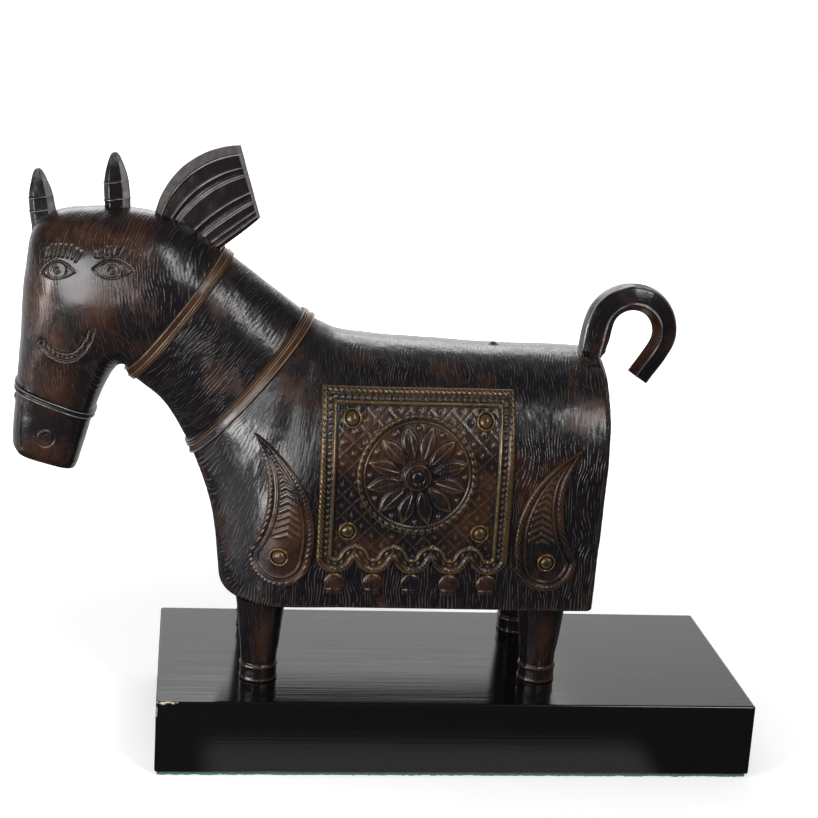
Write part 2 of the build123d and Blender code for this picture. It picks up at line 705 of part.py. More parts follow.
def flank_pieces():
    """Each piece of the left flank's appliqué, as a list of solids."""
    return {
        "saddle_cloth": [saddle_cloth()],
        "lotus_medallion": [lotus_medallion()],
        "hem_bells": hem_bells(),
        "shoulder_paisley": [paisley(-SHOULDER_PAISLEY_AHEAD, -1)],
        "haunch_paisley": [paisley(HAUNCH_PAISLEY_BACK, 1)],
        "studs": studs(),
    }


def all_nodes():
    nodes = {
        "plinth": plinth(),
        "base_felt": base_felt(),
        "foot_screws": foot_screws(),
        "foot_washers": foot_washers(),
        "belly_plate": belly_plate(),
        "body_shell": body_shell(),
        "neck": neck(),
        "neck_collar": neck_collar(),
        "poll_strap": poll_strap(),
        "head": head(),
        "noseband": noseband(),
        "left_ear": ear(LEFT_EAR_AT, LEFT_EAR_LEAN),
        "right_ear": ear(RIGHT_EAR_AT, RIGHT_EAR_LEAN),
        "mane_crest": mane_crest(),
        "tail": tail(),
    }
    for name, (x, y) in foot_places().items():
        nodes[name] = leg(x, y)
    for name, pieces in flank_pieces().items():
        solids = [solid for piece in pieces for solid in piece.solids()]
        nodes[f"left_{name}"] = Compound(children=solids)
        nodes[f"right_{name}"] = Compound(children=[solid.mirror(MID_PLANE) for solid in solids])
    return nodes


os.makedirs("parts", exist_ok=True)
for node, shape in all_nodes().items():
    export_step(shape, f"parts/{node}.step")
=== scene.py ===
import bmesh
import bpy
import numpy as np
from math import cos, pi, radians, sin
from mathutils import Matrix, Vector
from mathutils.bvhtree import BVHTree


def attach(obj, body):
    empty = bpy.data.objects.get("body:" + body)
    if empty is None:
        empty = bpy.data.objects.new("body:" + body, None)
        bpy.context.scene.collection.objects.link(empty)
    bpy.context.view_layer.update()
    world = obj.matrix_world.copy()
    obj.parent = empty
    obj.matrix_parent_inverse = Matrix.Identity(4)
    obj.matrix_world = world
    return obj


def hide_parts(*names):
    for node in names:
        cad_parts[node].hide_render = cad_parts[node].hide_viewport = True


# A cast bronze folk horse on a black lacquered plinth.
# Sizes are in millimetres until a mesh is made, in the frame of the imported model.

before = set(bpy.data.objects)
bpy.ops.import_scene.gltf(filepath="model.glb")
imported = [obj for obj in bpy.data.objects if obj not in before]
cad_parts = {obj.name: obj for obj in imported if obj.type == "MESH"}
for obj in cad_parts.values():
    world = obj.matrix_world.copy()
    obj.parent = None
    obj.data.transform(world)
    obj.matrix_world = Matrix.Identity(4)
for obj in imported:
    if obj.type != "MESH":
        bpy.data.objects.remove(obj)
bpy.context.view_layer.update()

MM = 0.001
# y of the plane of symmetry, z of the plinth's top and of the body's lower rim, x of the body's middle
MIDLINE = 6.0
PLINTH_TOP = 40.0
RIM = 84.3
FLANK_X = -28.0
WALL = 4.5
CAMERA_AT = np.array((-142.77, -881.39, 412.07))

# Sections across the horse: lowest point x and z, highest point x and z, half width,
# share of the height above the widest place, fullness of the quarters below and above it
BODY = (
    (64.26, 4.30, 69.92, 206.50, 50.00, 0.2473, 0.95, 0.5523),
    (61.26, 4.30, 67.00, 209.50, 53.00, 0.2583, 0.95, 0.5523),
    (3.25, 4.30, 3.25, 210.62, 53.00, 0.2623, 0.95, 0.5523),
    (-60.00, 4.30, -60.00, 214.00, 53.00, 0.2742, 0.95, 0.5523),
    (-105.99, 4.30, -75.50, 219.00, 53.00, 0.40, 0.95, 0.5523),
    (-120.02, 66.63, -78.24, 220.60, 46.46, 0.442, 0.783, 0.5523),
    (-127.65, 120.05, -80.58, 221.97, 36.96, 0.478, 0.6398, 0.5523),
    (-139.40, 152.70, -82.02, 222.81, 30.00, 0.5, 0.5523, 0.5523),
)
NECK = (
    BODY[-1],
    (-152.49, 174.12, -102.74, 237.79, 29.00, 0.5, 0.5523, 0.5523),
    (-170.66, 189.39, -123.45, 252.73, 28.00, 0.5, 0.5523, 0.5523),
)
HEAD = (
    NECK[-1],
    (-172.56, 192.96, -148.06, 268.46, 30.00, 0.5, 0.5523, 0.5523),
    (-175.26, 193.96, -181.06, 273.26, 30.00, 0.5, 0.61, 0.61),
    (-177.66, 192.26, -215.06, 266.86, 29.00, 0.5, 0.66, 0.66),
    (-180.46, 188.16, -222.66, 241.06, 27.00, 0.5, 0.70, 0.70),
    (-184.36, 179.96, -224.76, 207.06, 23.50, 0.5, 0.74, 0.74),
    (-188.26, 168.86, -226.56, 183.06, 20.50, 0.5, 0.78, 0.78),
    (-195.46, 144.06, -228.26, 153.46, 18.00, 0.5, 0.82, 0.82),
    (-196.86, 140.66, -226.06, 148.66, 16.20, 0.5, 0.82, 0.82),
)
NOSEBAND = HEAD[6]


def evenly_full(fullness, *rows):
    """Sections that are widest at half their height and alike below and above it."""
    return tuple(row + (0.5, fullness, fullness) for row in rows)


TAIL = evenly_full(
    0.68,
    (73.82, 192.12, 57.31, 193.86, 8.30),
    (75.34, 208.66, 59.26, 210.34, 8.08),
    (76.43, 221.11, 60.79, 222.75, 7.86),
    (77.65, 225.33, 64.64, 233.38, 7.65),
    (80.64, 228.67, 72.66, 241.20, 7.43),
    (84.89, 230.41, 83.19, 244.73, 7.21),
    (89.56, 230.12, 94.12, 243.34, 6.99),
    (93.73, 227.78, 103.27, 237.40, 6.77),
    (96.52, 223.78, 108.88, 228.15, 6.55),
    (97.31, 218.87, 109.90, 217.49, 6.34),
    (95.85, 214.01, 106.22, 207.52, 6.12),
    (86.49, 198.63, 96.50, 192.37, 5.90),
)
LEFT_EAR = evenly_full(
    0.64,
    (-183.60, 263.67, -171.66, 264.50, 3.99),
    (-184.54, 272.62, -171.97, 273.50, 4.20),
    (-185.11, 280.70, -172.54, 281.58, 4.20),
    (-184.88, 288.30, -173.82, 289.07, 3.70),
    (-183.45, 294.89, -176.15, 295.40, 2.44),
    (-182.24, 298.50, -177.85, 298.80, 1.47),
    (-181.14, 299.93, -179.13, 300.07, 0.67),
)
RIGHT_EAR = evenly_full(
    0.64,
    (-218.70, 253.90, -206.82, 255.36, 3.99),
    (-220.11, 262.79, -207.60, 264.33, 4.20),
    (-221.10, 270.83, -208.59, 272.37, 4.20),
    (-221.27, 278.43, -210.26, 279.78, 3.70),
    (-220.18, 285.09, -212.93, 285.98, 2.44),
    (-219.17, 288.75, -214.79, 289.29, 1.47),
    (-218.15, 290.24, -216.15, 290.48, 0.67),
)


# Repeatable irregularity

def unit(values):
    """Values kept between 0 and 1."""
    return np.clip(values, 0, 1)


def hump(away, width):
    """1 in the middle of a ridge or groove, fading to 0 beside it."""
    return np.exp(-((away / width) ** 2))


def scatter(*cells):
    """A repeatable number from 0 to 1 for each whole-numbered cell, by a common integer hash."""
    mixed = np.uint32(2166136261)
    for cell in cells:
        mixed = (mixed ^ np.asarray(cell).astype(np.int64).astype(np.uint32)) * np.uint32(16777619)
        mixed = (mixed ^ (mixed >> np.uint32(13))) * np.uint32(1540483477)
        mixed = mixed ^ (mixed >> np.uint32(15))
    return (mixed & np.uint32(0xFFFFFF)) / float(0x1000000)


def noise(points, size):
    """Smooth lumps of about the given size, from -1 to 1."""
    place = points / size
    cell = np.floor(place)
    part = place - cell
    part = part * part * (3 - 2 * part)
    total = np.zeros(len(points))
    for corner in np.ndindex(2, 2, 2):
        weight = np.prod(np.where(corner, part, 1 - part), axis=1)
        total += weight * scatter(*(cell + corner).T)
    return 2 * total - 1


def strokes(grain, pitch, length):
    """Chisel strokes that run along the grain: 1 in the middle of a stroke and 0 between them."""
    along, across, side = grain.T
    across = across + 1.3 * pitch * noise(grain, 9 * pitch) + 0.5 * pitch * noise(grain, 3 * pitch)
    lane = np.floor(across / pitch)
    place = along / length + 7 * scatter(lane, np.floor(side / 12))
    cell = np.floor(place)
    shift = 0.4 * (scatter(cell, lane + 77) - 0.5)
    middle = across / pitch - lane - 0.5 - shift
    end = 4 * (place - cell) * (1 - place + cell)
    return hump(middle, 0.2) * np.sqrt(end) * (0.3 + 0.7 * scatter(lane, cell))


# Smooth skins through the sections

def control_rings(sections):
    rings = []
    for low_x, low_z, top_x, top_z, half_width, arch, full, crown in sections:
        low = np.array((low_x, MIDLINE, low_z))
        top = np.array((top_x, MIDLINE, top_z))
        widest = low + (top - low) * (1 - arch)
        side = np.array((0, -half_width, 0))
        rings.append((
            top,
            top + side * crown,
            widest + side + (top - widest) * crown,
            widest + side,
            widest + side + (low - widest) * full,
            low + side * full,
            low,
        ))
    return np.array(rings)


def skin_rows(sections, count):
    """Control points of the skin's cross curves at evenly spaced places along it, and those places."""
    rings = control_rings(sections)
    stops = np.concatenate(([0], np.cumsum(np.linalg.norm(np.diff(rings[:, 3], axis=0), axis=1))))
    order = np.arange(len(rings))
    back, on = np.maximum(order - 1, 0), np.minimum(order + 1, len(rings) - 1)
    slopes = (rings[on] - rings[back]) / (stops[on] - stops[back])[:, None, None]
    at = np.linspace(0, stops[-1], count)
    span = np.clip(np.searchsorted(stops, at, side="right") - 1, 0, len(rings) - 2)
    width = (stops[span + 1] - stops[span])[:, None, None]
    f = (at - stops[span])[:, None, None] / width
    rows = (2 * f**3 - 3 * f**2 + 1) * rings[span] + (f**3 - 2 * f**2 + f) * width * slopes[span]
    rows += (3 * f**2 - 2 * f**3) * rings[span + 1] + (f**3 - f**2) * width * slopes[span + 1]
    return rows, at


def resampled(where, stops, points):
    """Points at the given places on a line whose points have the given stops."""
    return np.stack([np.interp(where, stops, axis) for axis in points.T], axis=-1)


def half_curves(rows, count):
    """Evenly spaced points down the viewer's half of each row, from its top to its lowest point."""
    t = np.linspace(0, 1, 120)
    basis = np.stack(((1 - t) ** 3, 3 * t * (1 - t) ** 2, 3 * t * t * (1 - t), t**3))
    upper = np.einsum("bf,rbx->rfx", basis, rows[:, :4])
    lower = np.einsum("bf,rbx->rfx", basis, rows[:, 3:])
    curves = np.concatenate((upper, lower[:, 1:]), axis=1)
    run = np.cumsum(np.linalg.norm(np.diff(curves, axis=1), axis=2), axis=1)
    run = np.concatenate((np.zeros((len(rows), 1)), run), axis=1)
    share = np.linspace(0, 1, count)
    points = [resampled(share * stops[-1], stops, curve) for stops, curve in zip(run, curves)]
    return np.array(points), run[:, -1]


def mirrored(points):
    return points * (1, -1, 1) + (0, 2 * MIDLINE, 0)


def skin_grid(sections, rows, near, far):
    """Points of a closed skin, ring by ring, and the grain at each: round the ring, along the skin, side."""
    controls, at = skin_rows(sections, rows)
    left, length = half_curves(controls, near)
    right, _ = half_curves(controls, far)
    points = np.concatenate((left, mirrored(right)[:, ::-1][:, 1:-1]), axis=1)
    share = np.concatenate((np.linspace(0, 1, near), np.linspace(1, 0, far)[1:-1]))
    round_ring = share[None, :] * length[:, None]
    along = np.broadcast_to(at[:, None], round_ring.shape)
    return points, np.stack((round_ring, along, 0.3 * points[..., 1]), axis=-1)


def ladder(ring, near, steps):
    """A flat end: points across a ring whose two halves match, from its top to its lowest point."""
    left = ring[:near]
    share = np.linspace(0, 1, steps)[None, :, None]
    return left[:, None] * (1 - share) + mirrored(left)[:, None] * share


def grid_faces(rows, columns, closed):
    """Corner numbers of a grid's quads."""
    i, j = np.meshgrid(np.arange(rows - 1), np.arange(columns if closed else columns - 1), indexing="ij")
    on = (j + 1) % columns
    quads = (i * columns + j, i * columns + on, (i + 1) * columns + on, (i + 1) * columns + j)
    return np.stack(quads, axis=-1).reshape(-1, 4)


# Meshes

# points nearer than this become one, and edges shorter than this are dropped
WELD = 0.004
SLIVER = 0.002


def grid(points, grain, closed=True):
    """Rows of points with their grain and the quads between them."""
    return points, grid_faces(*points.shape[:2], closed), grain


def capped(ring, steps, last=0.0):
    """Rings that close an open end, from the given ring towards its middle."""
    middle = ring.mean(axis=0)
    return middle + (ring - middle) * np.linspace(1, last, steps)[:, None, None]


def joined(*grids):
    """Several (points, faces, grain) groups as one."""
    start, points, faces, grain = 0, [], [], []
    for some_points, some_faces, some_grain in grids:
        points.append(some_points.reshape(-1, 3))
        faces.append(some_faces + start)
        grain.append(some_grain.reshape(-1, 3))
        start += len(points[-1])
    return np.concatenate(points), np.concatenate(faces), np.concatenate(grain)


def read(what, name, width):
    values = np.empty(len(what) * width, np.float32 if name != "vertices" else np.int32)
    what.foreach_get(name, values)
    return values.reshape(-1, width)


def places(mesh):
    return read(mesh.vertices, "co", 3).astype(float) / MM


def directions(mesh):
    return read(mesh.vertex_normals, "vector", 3).astype(float)


def grain_of(mesh):
    return read(mesh.attributes["grain"].data, "vector", 3).astype(float)


def put(mesh, at):
    mesh.vertices.foreach_set("co", (at * MM).astype(np.float32).ravel())
    mesh.update()


def store(mesh, name, values):
    kind, key = ("FLOAT", "value") if values.ndim == 1 else ("FLOAT_VECTOR", "vector")
    layer = mesh.attributes.get(name) or mesh.attributes.new(name, kind, "POINT")
    layer.data.foreach_set(key, np.ascontiguousarray(values, np.float32).ravel())


def made(name, *grids):
    """A piece's mesh, welded where its grids meet, with its faces looking outwards."""
    points, faces, grain = joined(*grids)
    mesh = bpy.data.meshes.new(name)
    a, b, c = np.moveaxis(points[faces][:, :3], 1, 0)
    volume = ((a - points.mean(0)) * np.cross(b - a, c - a)).sum()
    if volume < 0:
        faces = faces[:, ::-1]
    mesh.vertices.add(len(points))
    mesh.vertices.foreach_set("co", (points * MM).astype(np.float32).ravel())
    mesh.loops.add(faces.size)
    mesh.loops.foreach_set("vertex_index", faces.astype(np.int32).ravel())
    mesh.polygons.add(len(faces))
    mesh.polygons.foreach_set("loop_start", np.arange(0, faces.size, 4, dtype=np.int32))
    mesh.update(calc_edges=True)
    store(mesh, "grain", grain)
    work = bmesh.new()
    work.from_mesh(mesh)
    bmesh.ops.remove_doubles(work, verts=work.verts, dist=WELD * MM)
    bmesh.ops.dissolve_degenerate(work, edges=work.edges, dist=SLIVER * MM)
    bmesh.ops.recalc_face_normals(work, faces=work.faces)
    work.to_mesh(mesh)
    work.free()
    mesh.update()
    return mesh


def standing_out(mesh, rounds):
    """How far each point stands out of its surroundings, in millimetres."""
    at = places(mesh)
    first, second = read(mesh.edges, "vertices", 2).T
    total = len(at)
    count = np.bincount(first, minlength=total) + np.bincount(second, minlength=total)
    count = np.maximum(count, 1)
    smooth = at.copy()
    for _ in range(rounds):
        summed = [
            np.bincount(first, weights=smooth[second, axis], minlength=total)
            + np.bincount(second, weights=smooth[first, axis], minlength=total)
            for axis in range(3)
        ]
        smooth = np.stack(summed, axis=1) / count[:, None]
    return ((at - smooth) * directions(mesh)).sum(axis=1)


def carved(mesh, depth):
    """Moves each point along its normal by what depth gives for places, normals and grain."""
    at, out = places(mesh), directions(mesh)
    put(mesh, at + out * depth(at, out, grain_of(mesh))[:, None])


def placed(name, mesh, finish, *nodes, worn=(0.05, 0.2), rounds=6, polish_and_sheen=0.0, soil=0.0, **layers):
    """A finished piece: wear on what stands out and painted sheen where the caller gives it, dirt in what
    lies deep, further layers, and its node.
    """
    material, slot = finish
    proud = standing_out(mesh, rounds)
    for layer, values in layers.items():
        store(mesh, layer, np.broadcast_to(values, len(mesh.vertices)))
    store(mesh, "wear_and_sheen", np.maximum(unit((proud - worn[0]) / (worn[1] - worn[0])), polish_and_sheen))
    store(mesh, "dirt", np.maximum(unit(-proud / worn[1]), soil))
    mesh.polygons.foreach_set("use_smooth", np.ones(len(mesh.polygons), bool))
    mesh.materials.append(material)
    piece = bpy.data.objects.new(name, mesh)
    bpy.context.scene.collection.objects.link(piece)
    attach(piece, "root")
    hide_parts(*nodes)
    return piece


# Materials

def tone(code):
    """An sRGB hex colour as linear RGBA."""
    parts = [int(code[k:k + 2], 16) / 255 for k in (1, 3, 5)]
    return tuple(p / 12.92 if p <= 0.04045 else ((p + 0.055) / 1.055) ** 2.4 for p in parts) + (1.0,)


def blank(owner):
    """A material or world without nodes, and the function that adds a node to it."""
    owner.use_nodes = True
    tree = owner.node_tree
    tree.nodes.clear()

    def add(kind, links=(), **settings):
        """Adds a node with its settings, links its inputs or sets their values, and gives its outputs."""
        node = tree.nodes.new("ShaderNode" + kind)
        for name, value in settings.items():
            setattr(node, name, value)
        for key, value in links.items() if isinstance(links, dict) else enumerate(links):
            if isinstance(value, bpy.types.NodeSocket):
                tree.links.new(value, node.inputs[key])
            else:
                node.inputs[key].default_value = value
        return node.outputs

    return owner, add


# Cast bronze, patinated brown-black, waxed and rubbed: the wax gives grey lights, the rubbing leaves
# orange-brown clouds, raised edges show the yellow metal and the chisel strokes get painted highlights, fine
# light lines in the colour.
# Stored layers: grain in millimetres, and shares of wear with some painted sheen, dirt, brown rubbing, calm
# without strokes, and wax.
def cast_bronze(name, edge_share, warm_share, edge_tone, warm_tone="#43240f", edge_metal=0.55):
    material, add = blank(bpy.data.materials.new(name))
    grain = add("Attribute", attribute_name="grain")["Vector"]
    wear_and_sheen, dirt, rub, calm, wax = [
        add("Attribute", attribute_name=layer)["Fac"] for layer in ("wear_and_sheen", "dirt", "rub", "calm", "wax")
    ]
    spot = add("TexCoord")["Object"]

    # strokes wander by 11 mm over 22 mm, lie 1.45 mm apart and are broken after about 8 mm
    wander, pitch, length, side = 22, 1.45, 8, 9
    drift = add("TexNoise", {"Vector": grain, "Scale": 1 / wander, "Detail": 1.0})["Fac"]
    place = add("SeparateXYZ", [grain])["Y"]
    across = add("Math", [drift, wander / 2, place], operation="MULTIPLY_ADD")[0]
    turn = add("Math", [across, 2 * pi / pitch], operation="MULTIPLY")[0]
    wave = add("Math", [turn], operation="SINE")[0]
    ridge = add("MapRange", [wave, 0.32, 0.92])[0]
    cells = [grain, (1 / length, 1 / pitch, 1 / side)]
    stretched = add("VectorMath", cells, operation="MULTIPLY")[0]
    breaks = add("TexNoise", {"Vector": stretched, "Scale": 1.0, "Detail": 2.0, "Roughness": 0.6})["Fac"]
    kept = add("MapRange", [breaks, 0.44, 0.62])[0]
    drawn = add("Math", [kept, ridge], operation="MULTIPLY")[0]
    shown = add("Math", [1.0, calm], operation="SUBTRACT")[0]
    line = add("Math", [drawn, shown], operation="MULTIPLY")[0]

    # object coordinates are metres: clouds of 30 mm, casting lumps of 3 mm, sand grain of 0.8 mm
    cloud = add("TexNoise", {"Vector": spot, "Scale": 1 / 0.030, "Detail": 3.0, "Roughness": 0.6})["Fac"]
    lump = add("TexNoise", {"Vector": spot, "Scale": 1 / 0.003, "Detail": 2.0})["Fac"]
    sand = add("TexNoise", {"Vector": spot, "Scale": 1 / 0.0008, "Detail": 1.0})["Fac"]

    # brown clouds, painted highlights on the strokes, dirt in the hollows, and on the edges bare metal with
    # painted sheen on some pieces, one over the other
    cloud_edge = [cloud, 0.66 - 0.3 * warm_share, 0.80 - 0.25 * warm_share]
    warm = add("Math", [add("MapRange", cloud_edge)[0], rub], operation="MAXIMUM")[0]
    mottle = add("Math", [lump, 1.2, 0.2], operation="MULTIPLY_ADD")[0]
    speck = add("Math", [warm, mottle], operation="MULTIPLY")[0]
    # painted highlight: the light lines of the chisel strokes are put into the colour
    painted_stroke_highlight = add("Math", [line, 0.38], operation="MULTIPLY")[0]
    grime = add("Math", [dirt, 0.9], operation="MULTIPLY")[0]
    handled = add("Math", [lump, 1.2 * edge_share, 0.3 * edge_share], operation="MULTIPLY_ADD")[0]
    # bare metal where worn, and painted sheen where a piece asks for it, in the edge tone
    rubbed_and_sheen = add("Math", [wear_and_sheen, handled], operation="MULTIPLY")[0]
    colour = tone("#151216")
    for share, over in ((speck, warm_tone), (painted_stroke_highlight, "#7c736d"), (grime, "#09080a"), (rubbed_and_sheen, edge_tone)):
        colour = add("Mix", {0: share, 6: colour, 7: tone(over)}, data_type="RGBA")[2]

    # smooth wax, duller on the clouds and in the dirt
    rough = 0.13
    for layer, share in ((cloud, 0.18), (dirt, 0.25), (speck, 0.15)):
        rough = add("Math", [layer, share, rough], operation="MULTIPLY_ADD")[0]
    height = line
    for layer, share in ((lump, 0.5), (sand, 0.22)):
        height = add("Math", [layer, share, height], operation="MULTIPLY_ADD")[0]
    shader = add("BsdfPrincipled", {
        "Base Color": colour,
        "Metallic": add("Math", [rubbed_and_sheen, edge_metal, 0.3], operation="MULTIPLY_ADD")[0],
        "Roughness": rough,
        "Coat Weight": add("Math", [wax, 0.75, 0.25], operation="MULTIPLY_ADD")[0],
        "Coat Roughness": 0.22,
        "Normal": add("Bump", {"Height": height, "Strength": 0.75, "Distance": 0.0003})[0],
    })[0]
    add("OutputMaterial", {"Surface": shader})
    return material


# Black lacquer brushed on wood: a deep mirror with fine brush lines, and pale bare wood where it is chipped.
def black_lacquer():
    material, add = blank(bpy.data.materials.new("black_lacquer"))
    spot = add("TexCoord")["Object"]
    chip = add("Attribute", attribute_name="chip")["Fac"]
    # brush lines 0.8 mm apart and 120 mm long
    cells = [spot, (1 / 0.12, 1 / 0.0008, 1 / 0.0008)]
    drawn = add("VectorMath", cells, operation="MULTIPLY")[0]
    brush = add("TexNoise", {"Vector": drawn, "Scale": 1.0, "Detail": 1.0})["Fac"]
    # haze in patches of 50 mm
    rough = 0.06
    haze = add("TexNoise", {"Vector": spot, "Scale": 1 / 0.05, "Detail": 3.0})["Fac"]
    for layer, share in ((haze, 0.10), (chip, 0.7)):
        rough = add("Math", [layer, share, rough], operation="MULTIPLY_ADD")[0]
    colours = {0: chip, 6: tone("#0c0b0d"), 7: tone("#d8cbb8")}
    shader = add("BsdfPrincipled", {
        "Base Color": add("Mix", colours, data_type="RGBA")[2],
        "Roughness": rough,
        "IOR": 1.5,
        "Normal": add("Bump", {"Height": brush, "Strength": 1.0, "Distance": 0.00005})[0],
    })[0]
    add("OutputMaterial", {"Surface": shader})
    return material


# Pressed wool felt: matt, mottled by its fibres, which are drawn 1.2 mm wide so that they show.
def green_felt():
    material, add = blank(bpy.data.materials.new("green_felt"))
    spot = add("TexCoord")["Object"]
    fibre = add("TexNoise", {"Vector": spot, "Scale": 1 / 0.0012, "Detail": 4.0, "Roughness": 0.7})["Fac"]
    pale = add("MapRange", [fibre, 0.3, 0.7])[0]
    colours = {0: pale, 6: tone("#2c4f4a"), 7: tone("#4c7a70")}
    shader = add("BsdfPrincipled", {
        "Base Color": add("Mix", colours, data_type="RGBA")[2],
        "Roughness": 0.95,
        "Sheen Weight": 0.4,
        "Normal": add("Bump", {"Height": fibre, "Strength": 0.8, "Distance": 0.0006})[0],
    })[0]
    add("OutputMaterial", {"Surface": shader})
    return material


# Zinc-plated steel: grey with a faint mottle of 2 mm crystals.
def zinc_steel():
    material, add = blank(bpy.data.materials.new("zinc_plated_steel"))
    spot = add("TexCoord")["Object"]
    mottle = add("TexVoronoi", {"Vector": spot, "Scale": 1 / 0.002})["Distance"]
    pale = add("MapRange", [mottle, 0.0, 0.8])[0]
    colours = {0: pale, 6: tone("#8d8f92"), 7: tone("#a7a9ab")}
    shader = add("BsdfPrincipled", {
        "Base Color": add("Mix", colours, data_type="RGBA")[2],
        "Metallic": 1.0,
        "Roughness": add("Math", [mottle, 0.15, 0.3], operation="MULTIPLY_ADD")[0],
    })[0]
    add("OutputMaterial", {"Surface": shader})
    return material


# each finish with a slot name, which placed() does not use
BRONZE = cast_bronze("patinated_bronze", 0.45, 0.36, "#76603f"), "patinated_bronze"
STRAP_BRONZE = cast_bronze("handled_bronze", 0.9, 1.1, "#b8aa96", "#4e2e12"), "patinated_bronze"
RIDGED = cast_bronze("ridged_bronze", 1.0, 0.45, "#b4b0ae", edge_metal=0.1), "patinated_bronze"
RUBBED = cast_bronze("rubbed_bronze", 0.8, 0.8, "#7d6540"), "rubbed_bronze"
LACQUER = black_lacquer(), "lacquered_wood"
FELT = green_felt(), "green_felt"
STEEL = zinc_steel()


# Body, neck and head

# pitch, length and depth of the chisel strokes
BODY_STROKES = (2.3, 10.0, 0.2)
NECK_STROKES = (1.9, 8.0, 0.16)
HEAD_STROKES = (1.8, 10.0, 0.12)
# place, radius and height of the knobs left by the casting
BACK_KNOB = ((14.0, MIDLINE, 210.5), 2.4, 1.6)
RUMP_KNOB = ((68.6, 0.0, 157.0), 2.6, 1.5)
NOSE_KNOB = ((-227.5, -2.0, 177.6), 1.9, 1.3)
# how far the inside of the body's wall is shown above its rim, and how high the rim's outside stays dark
RIM_INSIDE = 6.0
DARK_RIM = 5.0


def worked(at, grain, pitch, length, depth, uneven=0.22):
    """A hand-worked casting: slow unevenness and chisel strokes."""
    return uneven * noise(at, 14.0) + 0.1 * noise(at, 5.0) - depth * strokes(grain, pitch, length)


def knob(at, centre, radius, height):
    return height * hump(np.linalg.norm(at - centre, axis=1), radius)


def make_body():
    half = 250
    points, grain = skin_grid(BODY, 235, half, half)
    rump = ladder(points[0], half, 110)
    mesh = made("body", grid(points, grain), grid(rump, rump[..., ::-1], closed=False))
    work = bmesh.new()
    work.from_mesh(mesh)
    bmesh.ops.bisect_plane(
        work, geom=work.verts[:] + work.edges[:] + work.faces[:], dist=1e-7,
        plane_co=(0, 0, RIM * MM), plane_no=(0, 0, 1), clear_inner=True,
    )
    just_above = (RIM + 0.5) * MM
    rim = [edge for edge in work.edges if edge.is_boundary and max(v.co.z for v in edge.verts) < just_above]
    for inset, rise in ((WALL, 0.0), (0.0, RIM_INSIDE)):
        ring = bmesh.ops.extrude_edge_only(work, edges=rim)["geom"]
        rim = [part for part in ring if isinstance(part, bmesh.types.BMEdge)]
        for vert in {v for edge in rim for v in edge.verts}:
            inward = Vector((FLANK_X * MM - vert.co.x, MIDLINE * MM - vert.co.y, 0))
            # the body is about twice as long as wide, so the way in leans to its long middle line
            inward.x *= 0.55
            vert.co += inward.normalized() * inset * MM + Vector((0, 0, rise * MM))
    bmesh.ops.recalc_face_normals(work, faces=work.faces)
    work.to_mesh(mesh)
    work.free()
    mesh.update()

    def depth(at, out, grain):
        outside = unit((at[:, 2] - RIM - 0.3) / 1.5)
        return outside * worked(at, grain, *BODY_STROKES) + knob(at, *BACK_KNOB) + knob(at, *RUMP_KNOB)

    carved(mesh, depth)
    placed("body", mesh, BRONZE, "body_shell", worn=(0.25, 0.9))
    wear_and_sheen = read(mesh.attributes["wear_and_sheen"].data, "value", 1)[:, 0]
    store(mesh, "wear_and_sheen", wear_and_sheen * np.where(places(mesh)[:, 2] < RIM + DARK_RIM, 0.25, 1.0))


def make_neck():
    mesh = made("neck", grid(*skin_grid(NECK, 90, 190, 150)))
    carved(mesh, lambda at, out, grain: worked(at, grain, *NECK_STROKES))
    placed("neck", mesh, BRONZE, "neck", worn=(0.1, 0.5), calm=0.45)


# Carved lines of the face, seen on an upright plane beside the head: x and z.
# An eye has its inner and outer corner, top, bottom, iris and the iris's size.
FACE_PLANE = -24.0
LEFT_EYE = ((-212.3, 244.6), (-196.9, 245.3), (-204.8, 250.4), (-205.5, 241.9), (-205.3, 246.0), 3.6)
RIGHT_EYE = ((-188.2, 247.0), (-169.3, 247.0), (-179.0, 251.8), (-179.7, 242.8), (-179.1, 246.8), 4.2)
BROW_STROKES = (
    ((-210.4, 252.3), (-209.6, 256.6)), ((-208.5, 252.8), (-207.8, 258.4)),
    ((-206.4, 252.9), (-205.9, 258.5)), ((-204.6, 252.9), (-203.6, 258.6)),
    ((-202.7, 252.6), (-201.2, 258.5)), ((-200.5, 252.2), (-198.5, 258.4)),
    ((-198.4, 251.7), (-196.2, 256.7)), ((-196.7, 250.4), (-193.9, 255.7)),
    ((-186.4, 252.8), (-187.1, 255.8)), ((-184.5, 252.9), (-184.6, 256.8)),
    ((-182.0, 254.7), (-181.9, 258.2)), ((-180.1, 254.8), (-180.0, 258.5)),
    ((-177.8, 254.9), (-176.6, 258.6)), ((-175.4, 254.1), (-172.8, 258.6)),
    ((-172.7, 252.5), (-168.9, 257.0)), ((-169.9, 250.8), (-165.9, 254.5)),
)
SMILE_OUTER = ((-212.6, 209.4), (-208.8, 204.4), (-204.7, 202.1), (-200.6, 201.2), (-196.0, 202.4),
               (-192.0, 206.2), (-188.9, 211.7), (-187.5, 216.6))
SMILE_INNER = ((-211.7, 211.5), (-209.4, 208.6), (-205.3, 205.7), (-201.3, 204.7), (-197.2, 205.4),
               (-193.8, 208.5), (-190.9, 213.5), (-189.8, 217.7))
TOOTH_PITCH = 2.3
NOSTRIL = (-210.2, 162.1)
NOSTRIL_RADIUS = 4.3
NOSTRIL_BEAD = (-211.1, 165.2)
MUZZLE_EDGE = ((-220.8, 187.6), (-221.3, 175.4), (-221.9, 163.0), (-221.2, 156.8))
MUZZLE_TOP = 189.0
